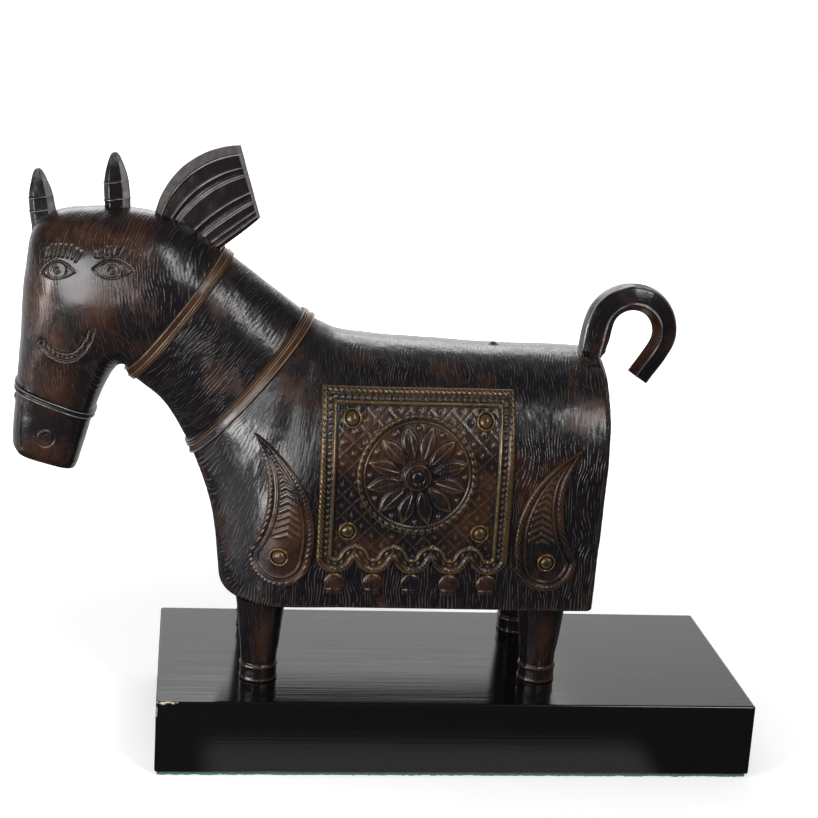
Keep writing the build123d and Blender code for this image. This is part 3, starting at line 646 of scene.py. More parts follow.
# ovals on the face: middle x and z, half width and half height
BARE_BROW = (-196, 242, 17, 22)
WAXED_BROW = (-197, 245, 11.5, 20)
BROWN_CLOUDS = (
    (-193, 263, 18, 7), (-213, 231, 7, 18), (-186, 226, 9, 12), (-206, 188, 10, 12), (-168, 262, 8, 14),
)


def seen_on(points, plane_y):
    """Where each point appears on an upright plane, seen from the camera: x and z."""
    reach = (plane_y - CAMERA_AT[1]) / (points[:, 1] - CAMERA_AT[1])
    return (CAMERA_AT + (points - CAMERA_AT) * reach[:, None])[:, ::2]


def oval(seen, x, z, wide, tall, firm=1):
    """1 in the middle of an oval, fading to 0 outside it."""
    return np.exp(-(((seen[:, 0] - x) / wide) ** 2 + ((seen[:, 1] - z) / tall) ** 2) ** firm)


def from_line(at, start, end):
    """Distance from a straight line between two places."""
    start, end = np.array(start), np.array(end)
    run = end - start
    share = unit((at - start) @ run / (run @ run))
    return np.linalg.norm(at - start - share[:, None] * run, axis=1)


def from_path(at, path):
    return np.min([from_line(at, a, b) for a, b in zip(path, path[1:])], axis=0)


def cut(distance, width, depth):
    """A groove with a burr thrown up on both sides."""
    away = distance / width
    return depth * (0.3 * hump(away - 1.5, 0.6) - hump(away, 1.0))


def through(first, middle, last, count=14):
    """A curve through three places."""
    t = np.linspace(0, 1, count)[:, None]
    first, middle, last = np.array(first), np.array(middle), np.array(last)
    turn = 2 * middle - (first + last) / 2
    return (1 - t) ** 2 * first + 2 * t * (1 - t) * turn + t * t * last


def eye(at, inner, outer, top, bottom, iris, size):
    """An almond with a deep upper lid, a ringed iris and a pupil."""
    upper, lower = through(inner, top, outer), through(inner, bottom, outer)
    roof = np.interp(at[:, 0], upper[:, 0], upper[:, 1], left=-1e3, right=-1e3)
    sill = np.interp(at[:, 0], lower[:, 0], lower[:, 1], left=1e3, right=1e3)
    inside = unit((roof - at[:, 1]) / 0.5) * unit((at[:, 1] - sill) / 0.5)
    r = np.linalg.norm(at - iris, axis=1)
    ball = 0.55 * unit(1 - (r / (1.5 * size)) ** 2)
    rings = sum(0.4 * hump(r - share * size, 0.32) for share in (1.0, 0.62))
    pupil = 0.5 * hump(r, 0.7) - 0.5 * hump(r - 1.25, 0.5)
    lids = cut(from_path(at, upper), 0.55, 0.75) + cut(from_path(at, lower), 0.45, 0.45)
    return inside * (ball - 0.6 + rings + pupil) + lids


def face(at):
    """Relief of eyes, brows, smile, nostril and the muzzle's edge."""
    relief = eye(at, *LEFT_EYE) + eye(at, *RIGHT_EYE)
    for start, end in BROW_STROKES:
        relief += cut(from_line(at, start, end), 0.42, 0.75)
    outer, inner = from_path(at, SMILE_OUTER), from_path(at, SMILE_INNER)
    relief += cut(outer, 0.6, 0.95) + cut(inner, 0.55, 0.85)
    gum = unit(1 - np.abs(outer - inner) / 3.2) * (outer + inner < 4.6)
    relief += gum * (0.35 * np.sign(np.sin(2 * pi * at[:, 0] / TOOTH_PITCH)) - 0.6)
    relief += cut(np.abs(np.linalg.norm(at - NOSTRIL, axis=1) - NOSTRIL_RADIUS), 0.5, 0.5)
    relief -= cut(np.linalg.norm(at - NOSTRIL_BEAD, axis=1), 0.9, 0.5)
    return relief + cut(from_path(at, MUZZLE_EDGE), 0.5, 0.5)


def down_the_face(points):
    """The grain of strokes that run down the head."""
    x, y, z = np.moveaxis(points, -1, 0)
    return np.stack((z, x + 0.12 * z + 0.6 * np.abs(y - MIDLINE), 0.3 * y), axis=-1)


def make_head():
    points, _ = skin_grid(HEAD, 300, 230, 90)
    lips = capped(points[-1], 13)
    mesh = made("head", grid(points, down_the_face(points)), grid(lips, down_the_face(lips)))
    pitch, length, deep = HEAD_STROKES

    def depth(at, out, grain):
        seen = seen_on(at, FACE_PLANE)
        near_side = unit(-(out[:, 1] + 0.25) / 0.3)
        bare = oval(seen, *BARE_BROW, firm=2) * (out[:, 1] < 0)
        rough = worked(at, grain, pitch, length, deep * (1 - 0.7 * bare), 0.08 + 0.06 * bare)
        return rough + near_side * face(seen) + knob(at, *NOSE_KNOB)

    carved(mesh, depth)
    seen = seen_on(places(mesh), FACE_PLANE)
    clouds = 0.9 * np.max([oval(seen, *cloud) for cloud in BROWN_CLOUDS], axis=0)
    eyes = eye(seen, *LEFT_EYE) + eye(seen, *RIGHT_EYE)
    waxed = oval(seen, *WAXED_BROW, firm=2) * unit(1 + 2 * eyes)
    calm = np.maximum(waxed, 0.45 + 0.4 * unit((MUZZLE_TOP - seen[:, 1]) / 6))
    placed("head", mesh, BRONZE, "head", worn=(0.12, 0.6), rub=clouds, wax=waxed, calm=calm)


make_body()
make_neck()
make_head()


# Ears, tail and legs

def make_ear(name, sections, ring_levels):
    points, grain = skin_grid(sections, 90, 130, 40)
    x, y = points[..., 0], points[..., 1]
    left, right = x.min(axis=1, keepdims=True), x.max(axis=1, keepdims=True)
    half, thick = (right - left) / 2, MIDLINE - y.min(axis=1, keepdims=True)
    # flat cuts on the near side: the front and a bevel on its left and on its right
    front = MIDLINE - 0.75 * thick + 0.15 * (x - left - half)
    left_cut = MIDLINE - 0.5 * thick - 1.3 * (x - left - 0.2 * half)
    right_cut = MIDLINE - 0.5 * thick + 0.9 * (x - right + 0.45 * half)
    cuts = np.maximum(np.maximum(y, front), np.maximum(left_cut, right_cut))
    points[..., 1] = np.where(y < MIDLINE, np.minimum(cuts, MIDLINE), y)
    tip = capped(points[-1], 2)
    mesh = made(name, grid(points, grain), grid(tip, tip))

    def depth(at, out, grain):
        low = unit(1 - (at[:, 2] - at[:, 2].min() - 4) / 9)
        rough = 0.1 * noise(at, 4.0) + 0.35 * low * noise(at, 1.7)
        slant = 0.15 * (at[:, 0] - at[:, 0].mean())
        rings = sum(0.4 * hump(at[:, 2] - level - slant, 0.4) for level in ring_levels)
        return rough + rings * (out[:, 1] < 0)

    carved(mesh, depth)
    at, out = places(mesh), directions(mesh)
    from_base, from_tip = at[:, 2] - at[:, 2].min(), at[:, 2].max() - at[:, 2]
    # painted sheen: the bevel facing right (+x) is made pale as if it caught the light; the tip and base are
    # worn
    painted_bevel_sheen = 0.75 * unit((out[:, 0] - 0.4) / 0.15) * (0.7 + 0.3 * noise(at, 3.0))
    bare_tip = 0.5 * unit((7 - from_tip) / 7) * (0.6 + 0.6 * noise(at, 1.2))
    bare_base = 0.5 * unit((9 - from_base) / 4) * unit(noise(at, 1.5))
    # worn metal at the tip and base, and painted sheen on the right bevel
    bare = np.max((painted_bevel_sheen, bare_tip, bare_base), axis=0)
    placed(name, mesh, RIDGED, name, worn=(0.12, 0.4), rounds=5, polish_and_sheen=bare, calm=1.0)


make_ear("left_ear", LEFT_EAR, (277.0, 285.5))
make_ear("right_ear", RIGHT_EAR, (270.0, 276.5))


# where the tail's facets meet, on the way round from its outer line to its inner line
TAIL_FACETS = (0.0, 0.2, 0.62, 1.0)
# how much of its depth the tail keeps as it runs down into the rump: height and share
TAIL_ROOT = ((196.0, 203.0, 207.0, 209.5, 214.0, 222.0), (0.5, 0.74, 0.86, 0.9, 0.96, 1.0))
# rows of its skin that lie inside the rump, and rows after them on its rising part
TAIL_HIDDEN, TAIL_RISING = 8, 60
TAIL_RING = 209.5


def faceted(near, stops, share):
    """Half rings with flats between the given stops, a little rounded."""
    way = np.linspace(0, 1, near.shape[1])
    corners = near[:, np.rint(np.array(stops) * (near.shape[1] - 1)).astype(int)]
    place = np.interp(way, stops, np.arange(len(stops)))
    first = np.minimum(place.astype(int), len(stops) - 2)
    part = (place - first)[None, :, None]
    flat = corners[:, first] * (1 - part) + corners[:, first + 1] * part
    return near * (1 - share) + flat * share


def make_tail():
    half = 90
    points, grain = (rows[TAIL_HIDDEN:] for rows in skin_grid(TAIL, 210, half, half))
    rising = (np.arange(len(points)) < TAIL_RISING)[:, None]
    front = points[..., 0].min(axis=1, keepdims=True)
    kept = np.where(rising, np.interp(points[..., 2], *TAIL_ROOT), 1.0)
    points[..., 0] = front + (points[..., 0] - front) * kept
    near = faceted(points[:, :half], TAIL_FACETS, 0.8)
    points = np.concatenate((near, mirrored(near)[:, ::-1][:, 1:-1]), axis=1)
    end = ladder(points[-1], half, 30)
    # the grain's third number is the share of the way round, -1 on the end
    lengthways = grain[..., [1, 0, 2]]
    lengthways[..., 2] = np.concatenate((np.linspace(0, 1, half), np.linspace(1, 0, half)[1:-1]))
    end_grain = np.full(end.shape, -1.0)
    mesh = made("tail", grid(points, lengthways), grid(end, end_grain, closed=False))

    def edges(grain, width):
        return sum(hump(grain[:, 2] - place, width) for place in TAIL_FACETS[1:-1])

    def depth(at, out, grain):
        ring = hump(at[:, 2] - TAIL_RING + 0.02 * at[:, 0], 1.0) * (at[:, 0] < 80)
        return 0.25 * edges(grain, 0.022) + 0.12 * noise(at, 4.5) + 0.5 * ring

    carved(mesh, depth)
    at, share = places(mesh), grain_of(mesh)[:, 2]
    broken = unit(0.6 + 0.8 * noise(at, 6.0))
    # worn metal on the ridges between the facets, and on the outer facet a faint painted top-light sheen
    shine = np.maximum(0.9 * edges(grain_of(mesh), 0.02) * broken, 0.2 * (np.abs(share - 0.1) < 0.1))
    brown = 0.8 * (share > 0.64) * unit((at[:, 0] - 76) / 8)
    placed("tail", mesh, RIDGED, "tail", worn=(0.16, 0.5), rounds=5, polish_and_sheen=unit(shine), rub=brown, calm=0.85)


make_tail()

# height above the plinth and radius
LEG_PROFILE = (
    (0.0, 9.1), (0.5, 9.9), (1.2, 9.9), (1.9, 9.5), (6.6, 9.4), (7.6, 9.9), (8.6, 9.7), (9.3, 9.05),
    (20.0, 10.1), (33.0, 11.5), (44.3, 12.75),
)
LEG_RADIUS = 10.5
HOOF_HEIGHT = 9.0


def make_leg(name, x, y, facets, turn):
    rise = np.linspace(0, RIM - PLINTH_TOP, 110)[:, None]
    angle = np.linspace(0, 2 * pi, 150, endpoint=False)
    part = ((angle + turn) * facets / (2 * pi)) % 1 - 0.5
    flat = np.cos(pi / facets) / np.cos(2 * pi * part / facets)
    r = np.interp(rise, *zip(*LEG_PROFILE)) * (0.35 + 0.65 * flat)
    level = np.broadcast_to(PLINTH_TOP + rise, r.shape)
    points = np.stack((x + r * np.cos(angle), y + r * np.sin(angle), level), axis=-1)
    grain = np.stack(np.broadcast_arrays(rise, LEG_RADIUS * angle, x + y), axis=-1)
    sole = capped(points[0], 8, 0.3)
    mesh = made(name, grid(points, grain), grid(sole, sole))

    def depth(at, out, grain):
        rise = at[:, 2] - PLINTH_TOP
        cuts = 0.14 * strokes(grain, 2.4, 17.0) * (rise > HOOF_HEIGHT)
        return unit((rise - 0.4) / 1.0) * (0.16 * noise(at, 6.0) - cuts)

    carved(mesh, depth)
    at = places(mesh)
    rise = at[:, 2] - PLINTH_TOP
    brown = 0.8 * hump(rise - 24, 14) * hump(at[:, 0] - x - 1, 4)
    shine = 0.9 * unit(hump(rise - 8.0, 0.55) + hump(rise - 0.9, 0.5))
    placed(name, mesh, BRONZE, name, worn=(0.14, 0.5), rounds=5, polish_and_sheen=shine, rub=brown, calm=0.75)


make_leg("left_front_leg", -101.5, -30.0, 14, 0.1)
make_leg("left_rear_leg", 43.5, -27.5, 9, 0.25)
make_leg("right_front_leg", -101.5, 42.0, 12, 0.4)
make_leg("right_rear_leg", 43.5, 39.5, 9, 0.0)


# Crest

# corners of the fan, x and z; its upper edge is an arc
CREST_TOP_CENTRE = np.array((-116.90, 262.41))
CREST_TOP_RADIUS = 43.90
CREST_FRONT = (-160.56, 267.06)
CREST_TOP = (-118.96, 306.26)
CREST_CORNER = (-108.16, 271.26)
CREST_HEEL = (-124.06, 257.66)
CREST_ROOT = (-142.06, 245.06)
CREST_HALF = 4.5
# run along the ribs and width across them, and shares of the width: the bevel's lip and the ribs
CREST_RUN = 46.0
CREST_WIDTH = 38.0
CREST_LIP = 0.115
CREST_RIBS = (0.29, 0.385, 0.41, 0.63, 0.745, 0.77, 0.88, 0.95)


def make_crest():
    a = np.linspace(0, 1, 120)[:, None]
    b = np.linspace(0, 1, 230)[None, :]
    ends = np.array((CREST_FRONT, CREST_TOP)) - CREST_TOP_CENTRE
    first, last = np.arctan2(ends[:, 1], ends[:, 0])
    turn = first + (last - first) * a
    top = CREST_TOP_CENTRE + CREST_TOP_RADIUS * np.concatenate((np.cos(turn), np.sin(turn)), axis=1)
    low = through(CREST_ROOT, CREST_HEEL, CREST_CORNER, 120)
    plate = (1 - b[..., None]) * top[:, None] + b[..., None] * low[:, None]
    ribs = sum(0.8 * hump((b - place) * CREST_WIDTH, 0.34) for place in CREST_RIBS)
    ribs = ribs - 0.35 * hump(b - 0.34, 0.03) - 0.35 * hump(b - 0.69, 0.035)
    bevel = unit(b / 0.11)
    lip = 0.5 * hump((b - CREST_LIP) * CREST_WIDTH, 0.45)
    cut_end = unit((1 - a) * CREST_RUN / 1.6)
    heel = unit((1 - b) * CREST_WIDTH / 1.0)
    half = CREST_HALF - 3.2 * (1 - bevel) - 1.2 * (1 - cut_end) - 0.8 * (1 - heel)
    half = half + (0.75 * ribs * (b > 0.14) + lip) * cut_end * heel
    near = np.stack((plate[..., 0], MIDLINE - half, plate[..., 1]), axis=-1)
    back = mirrored(near)
    grain = np.stack(np.broadcast_arrays(a * CREST_RUN, b * CREST_WIDTH, 0 * a), axis=-1)
    share = np.linspace(0, 1, 12)[None, :, None]
    walls = []
    for line in (np.s_[:, 0], np.s_[:, -1], np.s_[0, :], np.s_[-1, :]):
        wall = near[line][:, None] * (1 - share) + back[line][:, None] * share
        walls.append(grid(wall, wall, closed=False))
    faces = grid_faces(*near.shape[:2], False)
    mesh = made("mane_crest", (near, faces, grain), (back, faces[:, ::-1], grain), *walls)
    carved(mesh, lambda at, out, grain: 0.12 * noise(at, 5.0))
    run, down = grain_of(mesh)[:, 0], grain_of(mesh)[:, 1] / CREST_WIDTH
    bare = sum(hump((down - place) * CREST_WIDTH, 0.26) for place in (CREST_LIP,) + CREST_RIBS)
    bare = unit(bare * (0.75 + 0.5 * noise(places(mesh), 9.0)))
    bare = np.maximum(np.maximum(bare, 0.25 * (down < 0.1)), 0.4 * (run > CREST_RUN - 1.6))
    # the walls have their places as grain, so their run is far below 0
    bare = np.where(run < -50, 0.3, bare)
    worn = (0.2, 0.6)
    placed("mane_crest", mesh, RIDGED, "mane_crest", worn=worn, rounds=5, polish_and_sheen=bare, rub=0.12, calm=1.0)


make_crest()


# Straps

# places across a strap and their heights
STRAP_WIDTHS = (
    -3.5, -3.2, -3.0, -2.75, -2.5, 0.0, 0.2, 0.45, 0.7, 1.0, 1.3, 1.6, 1.9, 2.2, 2.5, 2.8, 3.1, 3.3, 3.5,
)
STRAP_HEIGHTS = (
    0.0, 1.3, 1.75, 1.6, 1.05, 1.05, 1.5, 1.75, 1.4, 0.9, 1.3, 1.6, 1.3, 0.8, 1.2, 1.45, 1.1, 0.6, 0.0,
)
POLL_WIDTHS = tuple(-width for width in STRAP_WIDTHS[::-1])
POLL_HEIGHTS = STRAP_HEIGHTS[::-1]
BAND_WIDTHS = (-2.0, -1.6, -1.2, -0.8, 0.0, 0.8, 1.2, 1.6, 2.0)
BAND_HEIGHTS = (0.0, 0.8, 1.2, 0.6, 0.4, 0.6, 1.2, 0.8, 0.0)
STRAP_SUNK = 1.5


def along_plane(sections, rows, near, far, origin, normal, offsets):
    """Rings of a skin at the given distances from a plane."""
    points, _ = skin_grid(sections, rows, near, far)
    away = (points - origin) @ normal
    order = np.argsort(away, axis=0)
    lines = [resampled(offsets, away[k, j], points[k, j]) for j, k in enumerate(order.T)]
    return np.stack(lines, axis=1)


def make_strap(name, section, before, after, widths, heights, finish):
    low = np.array((section[0], MIDLINE, section[1]))
    top = np.array((section[2], MIDLINE, section[3]))
    up = (top - low) / np.linalg.norm(top - low)
    normal = np.array((-up[2], 0, up[0]))
    origin = (low + top) / 2
    offsets = np.linspace(widths[0], widths[-1], 64)
    behind = along_plane(*before, 300, 200, origin, normal, offsets[offsets < 0])
    ahead = along_plane(*after, 300, 200, origin, normal, offsets[offsets >= 0])
    base = np.concatenate((behind, ahead))
    out = np.cross(np.gradient(base, axis=0), np.roll(base, -1, axis=1) - np.roll(base, 1, axis=1))
    out /= np.linalg.norm(out, axis=2, keepdims=True)
    if ((base - origin) * out).sum() < 0:
        out = -out
    points = base + out * np.interp(offsets, widths, heights)[:, None, None]
    turn = np.linspace(0, 2 * pi, base.shape[1], endpoint=False)
    grain = np.stack(np.broadcast_arrays(30 * turn, offsets[:, None], 0 * turn), axis=-1)
    inner = base - out * STRAP_SUNK
    skirt = np.concatenate((inner[:1], points, inner[-1:]))
    mesh = made(name, grid(skirt, np.concatenate((grain[:1], grain, grain[-1:]))))
    carved(mesh, lambda at, out, grain: 0.1 * noise(at, 6.0))
    level = np.interp(grain_of(mesh)[:, 1], widths, heights) / max(heights)
    shine = unit((level - 0.8) / 0.2)
    groove = unit((0.62 - level) / 0.25)
    placed(name, mesh, finish, name, worn=(0.3, 0.8), polish_and_sheen=shine, soil=groove, calm=1.0)


make_strap("neck_collar", BODY[-1], (BODY, 400), (NECK, 120), STRAP_WIDTHS, STRAP_HEIGHTS, STRAP_BRONZE)
make_strap("poll_strap", NECK[-1], (NECK, 120), (HEAD[:4], 200), POLL_WIDTHS, POLL_HEIGHTS, STRAP_BRONZE)
make_strap("noseband", NOSEBAND, (HEAD[4:], 500), (HEAD[4:], 500), BAND_WIDTHS, BAND_HEIGHTS, RIDGED)


# Relief on the flanks, placed from the middle of the body's lower rim

SHEET_SUNK = 0.3
CLOTH_HALF = 48.0
CLOTH_BOTTOM = 26.0
CLOTH_TOP = 111.0
SCALLOPS = 5
SCALLOP_DROP = 7.0
SCALLOP = 2 * CLOTH_HALF / SCALLOPS
SCALLOP_RADIUS = ((SCALLOP / 2) ** 2 + SCALLOP_DROP**2) / (2 * SCALLOP_DROP)
SCALLOP_CENTRE = CLOTH_BOTTOM - SCALLOP_DROP + SCALLOP_RADIUS
LATTICE_STEP = 10.5
MEDALLION_AT = 70.0
MEDALLION_RADIUS = 30.0
PETALS = 12
BEADS = 48
BOSS_RADIUS = 8.0
PAISLEY_HEIGHT, PAISLEY_HALF, PAISLEY_BOTTOM = 74.0, 15.5, 11.0
BELL_WIDTH, BELL_HEIGHT, BELL_LIP = 8.0, 11.0, 2.75
STUD_RADIUS = 4.8
STUDS = ((-33.0, 41.0), (-33.0, 97.0), (33.0, 41.0), (33.0, 97.0), (-66.0, 26.5), (68.0, 26.5))


def flank_tree():
    points, _ = skin_grid(BODY, 200, 200, 4)
    shown = points[:, :200]
    faces = grid_faces(*shown.shape[:2], False)
    return BVHTree.FromPolygons([Vector(p) for p in shown.reshape(-1, 3)], faces.tolist())


FLANK = flank_tree()


def on_flank(x, rise):
    """The left flank's surface and its outward direction."""
    spots, outs = np.empty(x.shape + (3,)), np.empty(x.shape + (3,))
    for place in np.ndindex(x.shape):
        start = Vector((FLANK_X + x[place], -300.0, RIM + rise[place]))
        spot, out, _, _ = FLANK.ray_cast(start, Vector((0, 1, 0)))
        spots[place] = spot
        outs[place] = out if out.y < 0 else -out
    return spots, outs


def sheet(x, rise, height, closed):
    """A closed sheet on the flank: its top at the given heights, its underside sunk a little in the body."""
    base, out = on_flank(x, rise)
    top = base + out * height[..., None]
    under = base - out * SHEET_SUNK
    faces = grid_faces(*x.shape, closed)
    grain = np.stack((rise, x, 0 * x), axis=-1)
    groups = [(top, faces, grain), (under, faces[:, ::-1], grain)]
    for line in [np.s_[-1, :]] if closed else [np.s_[0, :], np.s_[-1, :], np.s_[:, 0], np.s_[:, -1]]:
        wall = np.stack((top[line], under[line]), axis=1)
        groups.append(grid(wall, wall, closed=False))
        if closed:
            bridge = np.stack((wall[-1], wall[0]))
            groups.append(grid(bridge, bridge, closed=False))
    return joined(*groups)


def both_flanks(name, parts, worn, rounds=4):
    points, faces, grain = joined(*parts)
    for side in ("left", "right"):
        spots = points if side == "left" else mirrored(points)
        quads = faces if side == "left" else faces[:, ::-1]
        full_name = f"{side}_{name}"
        mesh = made(full_name, (spots, quads, grain))
        carved(mesh, lambda at, out, grain: 0.07 * noise(at, 4.0))
        placed(full_name, mesh, RUBBED, full_name, worn=worn, rounds=rounds, calm=0.7)


def rounded(distance, middle, half):
    """The height of a round cord at a distance from its middle line, from 0 to 1."""
    return np.sqrt(unit(1 - ((distance - middle) / half) ** 2))


def twisted_cord(edge, x, rise, twist):
    """The height of the cord that goes round a cloth or a paisley, 3.2 mm wide."""
    return (1.2 + twist * np.sin(2 * pi * (x + rise) / 2.6)) * rounded(edge, 1.6, 1.6)


def make_cloth():
    x = np.linspace(-CLOTH_HALF, CLOTH_HALF, 201)
    local = (x + CLOTH_HALF) % SCALLOP - SCALLOP / 2
    hem = SCALLOP_CENTRE - np.sqrt(SCALLOP_RADIUS**2 - local**2)
    rise = hem + np.linspace(0, 1, 190)[:, None] * (CLOTH_TOP - hem)
    x, local = np.broadcast_to(x, rise.shape), np.broadcast_to(local, rise.shape)
    fall = np.hypot(local, rise - SCALLOP_CENTRE)
    cusp = np.hypot(np.abs(local) - SCALLOP / 2, rise - CLOTH_BOTTOM)
    lean = np.abs(local) / np.maximum(SCALLOP_CENTRE - rise, 1e-6)
    in_arc = (rise < SCALLOP_CENTRE) & (lean <= (SCALLOP / 2) / (SCALLOP_CENTRE - CLOTH_BOTTOM))
    to_hem = np.where(in_arc, np.minimum(SCALLOP_RADIUS - fall, cusp), cusp)
    to_top, to_side = CLOTH_TOP - rise, CLOTH_HALF - np.abs(x)
    edge = np.minimum(np.minimum(to_hem, to_top), to_side)
    # inwards from the edge: cord, row of beads, thin cord, then the field with its lattice and knots
    height = 0.7 + twisted_cord(edge, x, rise, 0.16) + 1.2 * rounded(edge, 6.85, 0.85)
    run = np.where(to_side < np.minimum(to_hem, to_top), rise, x)
    height += 0.75 * hump(edge - 4.6, 0.75) * (0.5 + 0.5 * np.cos(2 * pi * run / 3.2)) ** 2
    field = unit((edge - 8.4) / 0.6)
    first, second = [
        np.abs((x + sign * (rise - MEDALLION_AT)) % LATTICE_STEP - LATTICE_STEP / 2) for sign in (1, -1)
    ]
    lattice = hump(first, 0.55) + hump(second, 0.55)
    knots = hump(np.hypot(LATTICE_STEP / 2 - first, LATTICE_STEP / 2 - second), 1.6)
    height += field * (0.28 * unit(lattice) + 0.55 * knots)
    both_flanks("saddle_cloth", [sheet(x, rise, height, False)], (0.06, 0.3))


def polar(count, turns, radius):
    r = np.linspace(0, radius, count)[:, None]
    angle = np.linspace(0, 2 * pi, turns, endpoint=False)[None, :]
    return np.broadcast_arrays(r, angle)


def make_medallion():
    r, angle = polar(110, 300, MEDALLION_RADIUS)
    turn = (angle * PETALS / (2 * pi)) % 1 - 0.5
    aside = np.abs(r * np.sin(2 * pi * turn / PETALS))
    along = r * np.cos(2 * pi * turn / PETALS)
    half_length, half_width = 8.75, 4.1
    lens = half_width * (1 - ((along - 16.75) / half_length) ** 2) - aside
    vein = hump(aside, 0.45) * unit(lens / 1.2)
    height = 1.4 + 1.2 * np.sqrt(unit(lens / 1.1)) - 0.5 * vein
    between = np.hypot(r - 23.6, r * (0.5 - np.abs(turn)) * 2 * pi / PETALS)
    height += 0.9 * hump(between, 1.1)
    height += rounded(r, 28.6, 1.35) * (0.7 + 0.5 * np.abs(np.cos(angle * BEADS / 2)))
    height += 0.6 * rounded(r, 26.2, 0.6)
    boss = 1.6 + 2.8 * rounded(r, 0.0, BOSS_RADIUS)
    height = np.where(r < BOSS_RADIUS, boss, height) + 0.5 * hump(r - 6.3, 0.5) - 0.5 * hump(r - 3.0, 0.5)
    x, rise = r * np.sin(angle), MEDALLION_AT + r * np.cos(angle)
    both_flanks("lotus_medallion", [sheet(x, rise, height, True)], (0.07, 0.3))


def arc(first, middle, last, count):
    """Points on the circle through three places, without the last."""
    (ax, ay), (bx, by), (cx, cy) = first, middle, last
    d = 2 * (ax * (by - cy) + bx * (cy - ay) + cx * (ay - by))
    a2, b2, c2 = ax * ax + ay * ay, bx * bx + by * by, cx * cx + cy * cy
    ux = (a2 * (by - cy) + b2 * (cy - ay) + c2 * (ay - by)) / d
    uy = (a2 * (cx - bx) + b2 * (ax - cx) + c2 * (bx - ax)) / d
    angles = np.unwrap([np.arctan2(y - uy, x - ux) for x, y in (first, middle, last)])
    turn = np.linspace(angles[0], angles[2], count, endpoint=False)
    radius = np.hypot(ax - ux, ay - uy)
    return np.stack((ux + radius * np.cos(turn), uy + radius * np.sin(turn)), axis=1)


def make_paisley(name, at, sign):
    tall, half = PAISLEY_HEIGHT, PAISLEY_HALF
    tip, hollow, back = (0.9 * half, tall), (0.42 * half, 0.62 * tall), (-0.52 * half, 0.74 * tall)
    bottom = arc((-half, half), (0, 0), (half, half), 90)
    inner = arc((half, half), hollow, tip, 110)
    outer = arc(tip, back, (-half, half), 400)
    # both sides have their points at the same heights, so that they meet on the spine
    across = np.interp(inner[:0:-1, 1], outer[::-1, 1], outer[::-1, 0])
    outer = np.concatenate((outer[:1], np.stack((across, inner[:0:-1, 1]), axis=1)))
    outline = np.concatenate((bottom, inner, outer))
    level = np.where(outline[:, 1] > half, half + 0.9 * (outline[:, 1] - half), half)
    right = np.interp(level, inner[:, 1], inner[:, 0])
    left = np.interp(level, outer[::-1, 1], outer[::-1, 0])
    spine = np.stack((np.where(level > half, (left + right) / 2, 0), level), axis=1)
    reach = np.linalg.norm(spine - outline, axis=1)
    turn = len(bottom) + len(inner)
    inner_side, outer_side = slice(len(bottom) + 1, turn), slice(None, turn, -1)
    reach[inner_side] = reach[outer_side] = (reach[inner_side] + reach[outer_side]) / 2
    steps = np.concatenate((np.linspace(0, 8.0, 40), np.linspace(8.4, 16.0, 16)))
    inset = np.minimum(steps[::-1, None], reach[None, :])
    inset = np.where(inset > reach - 0.1, reach, inset)
    spots = outline + (spine - outline) * (inset / np.maximum(reach, 1e-6))[..., None]
    x, rise = spots[..., 0], spots[..., 1]
    height = 0.7 + twisted_cord(inset, x, rise, 0.14) + 0.8 * rounded(inset, 5.0, 0.7)
    field = unit((inset - 5.9) / 0.5) * unit((rise - 24) / 2)
    rungs = 0.5 + 0.5 * np.cos(2 * pi * (rise + 0.6 * np.abs(x - spine[:, 0])) / 3.4)
    height += 0.5 * field * rungs
    both_flanks(name, [sheet(at + sign * x, PAISLEY_BOTTOM + rise, height, True)], (0.06, 0.3))


def make_bells():
    half = BELL_WIDTH / 2
    foot = ((half, BELL_LIP), (half, 0), (-half, 0), (-half, BELL_LIP))
    dome = arc(foot[3], (0, BELL_HEIGHT), foot[0], 80)
    skirt = [np.linspace(a, b, 26, endpoint=False) for a, b in zip(foot, foot[1:])]
    outline = np.concatenate((dome, *skirt))
    middle = np.array((0, 0.42 * BELL_HEIGHT))
    share = np.linspace(0, 1, 44)[:, None]
    x, rise = np.moveaxis(middle + (outline - middle) * share[..., None], -1, 0)
    inset = (1 - share) * np.linalg.norm(outline - middle, axis=1)
    height = 0.4 + 1.5 * np.sqrt(unit(inset / 3.0)) + 0.35 * hump(rise - 2.6, 0.5)
    height -= 0.5 * hump(x, 0.45) * (rise < 2.2)
    bottom = CLOTH_BOTTOM - SCALLOP_DROP - BELL_HEIGHT - 0.2
    middles = [-CLOTH_HALF + (k + 0.5) * SCALLOP for k in range(SCALLOPS)]
    both_flanks("hem_bells", [sheet(at + x, bottom + rise, height, True) for at in middles], (0.05, 0.3), 12)


def make_studs():
    r, angle = polar(34, 64, STUD_RADIUS)
    height = 0.9 + 1.1 * rounded(r, 4.1, 0.7) + 2.2 * rounded(r, 0.0, 3.2)
    x, rise = r * np.sin(angle), r * np.cos(angle)
    both_flanks("studs", [sheet(at + x, level + rise, height, True) for at, level in STUDS], (0.0, 0.14), 16)


make_cloth()
make_medallion()
make_paisley("shoulder_paisley", -66.0, -1)
make_paisley("haunch_paisley", 68.0, 1)
make_bells()
make_studs()


# Plinth and felt

PLINTH_HALF = np.array((152.5, 63.5, 19.0))
PLINTH_MIDDLE = np.array((0.0, 0.0, 21.0))
PLINTH_EDGE = 1.2
CHIP_DEPTH = 0.55
FELT_HALF = np.array((151.0, 62.0))
FELT_THICK = 2.0
# how far the felt's edge stands out and at which height
FELT_EDGE = ((-0.3, 0.0), (0.1, 0.5), (0.15, 1.1), (-0.2, 1.9))


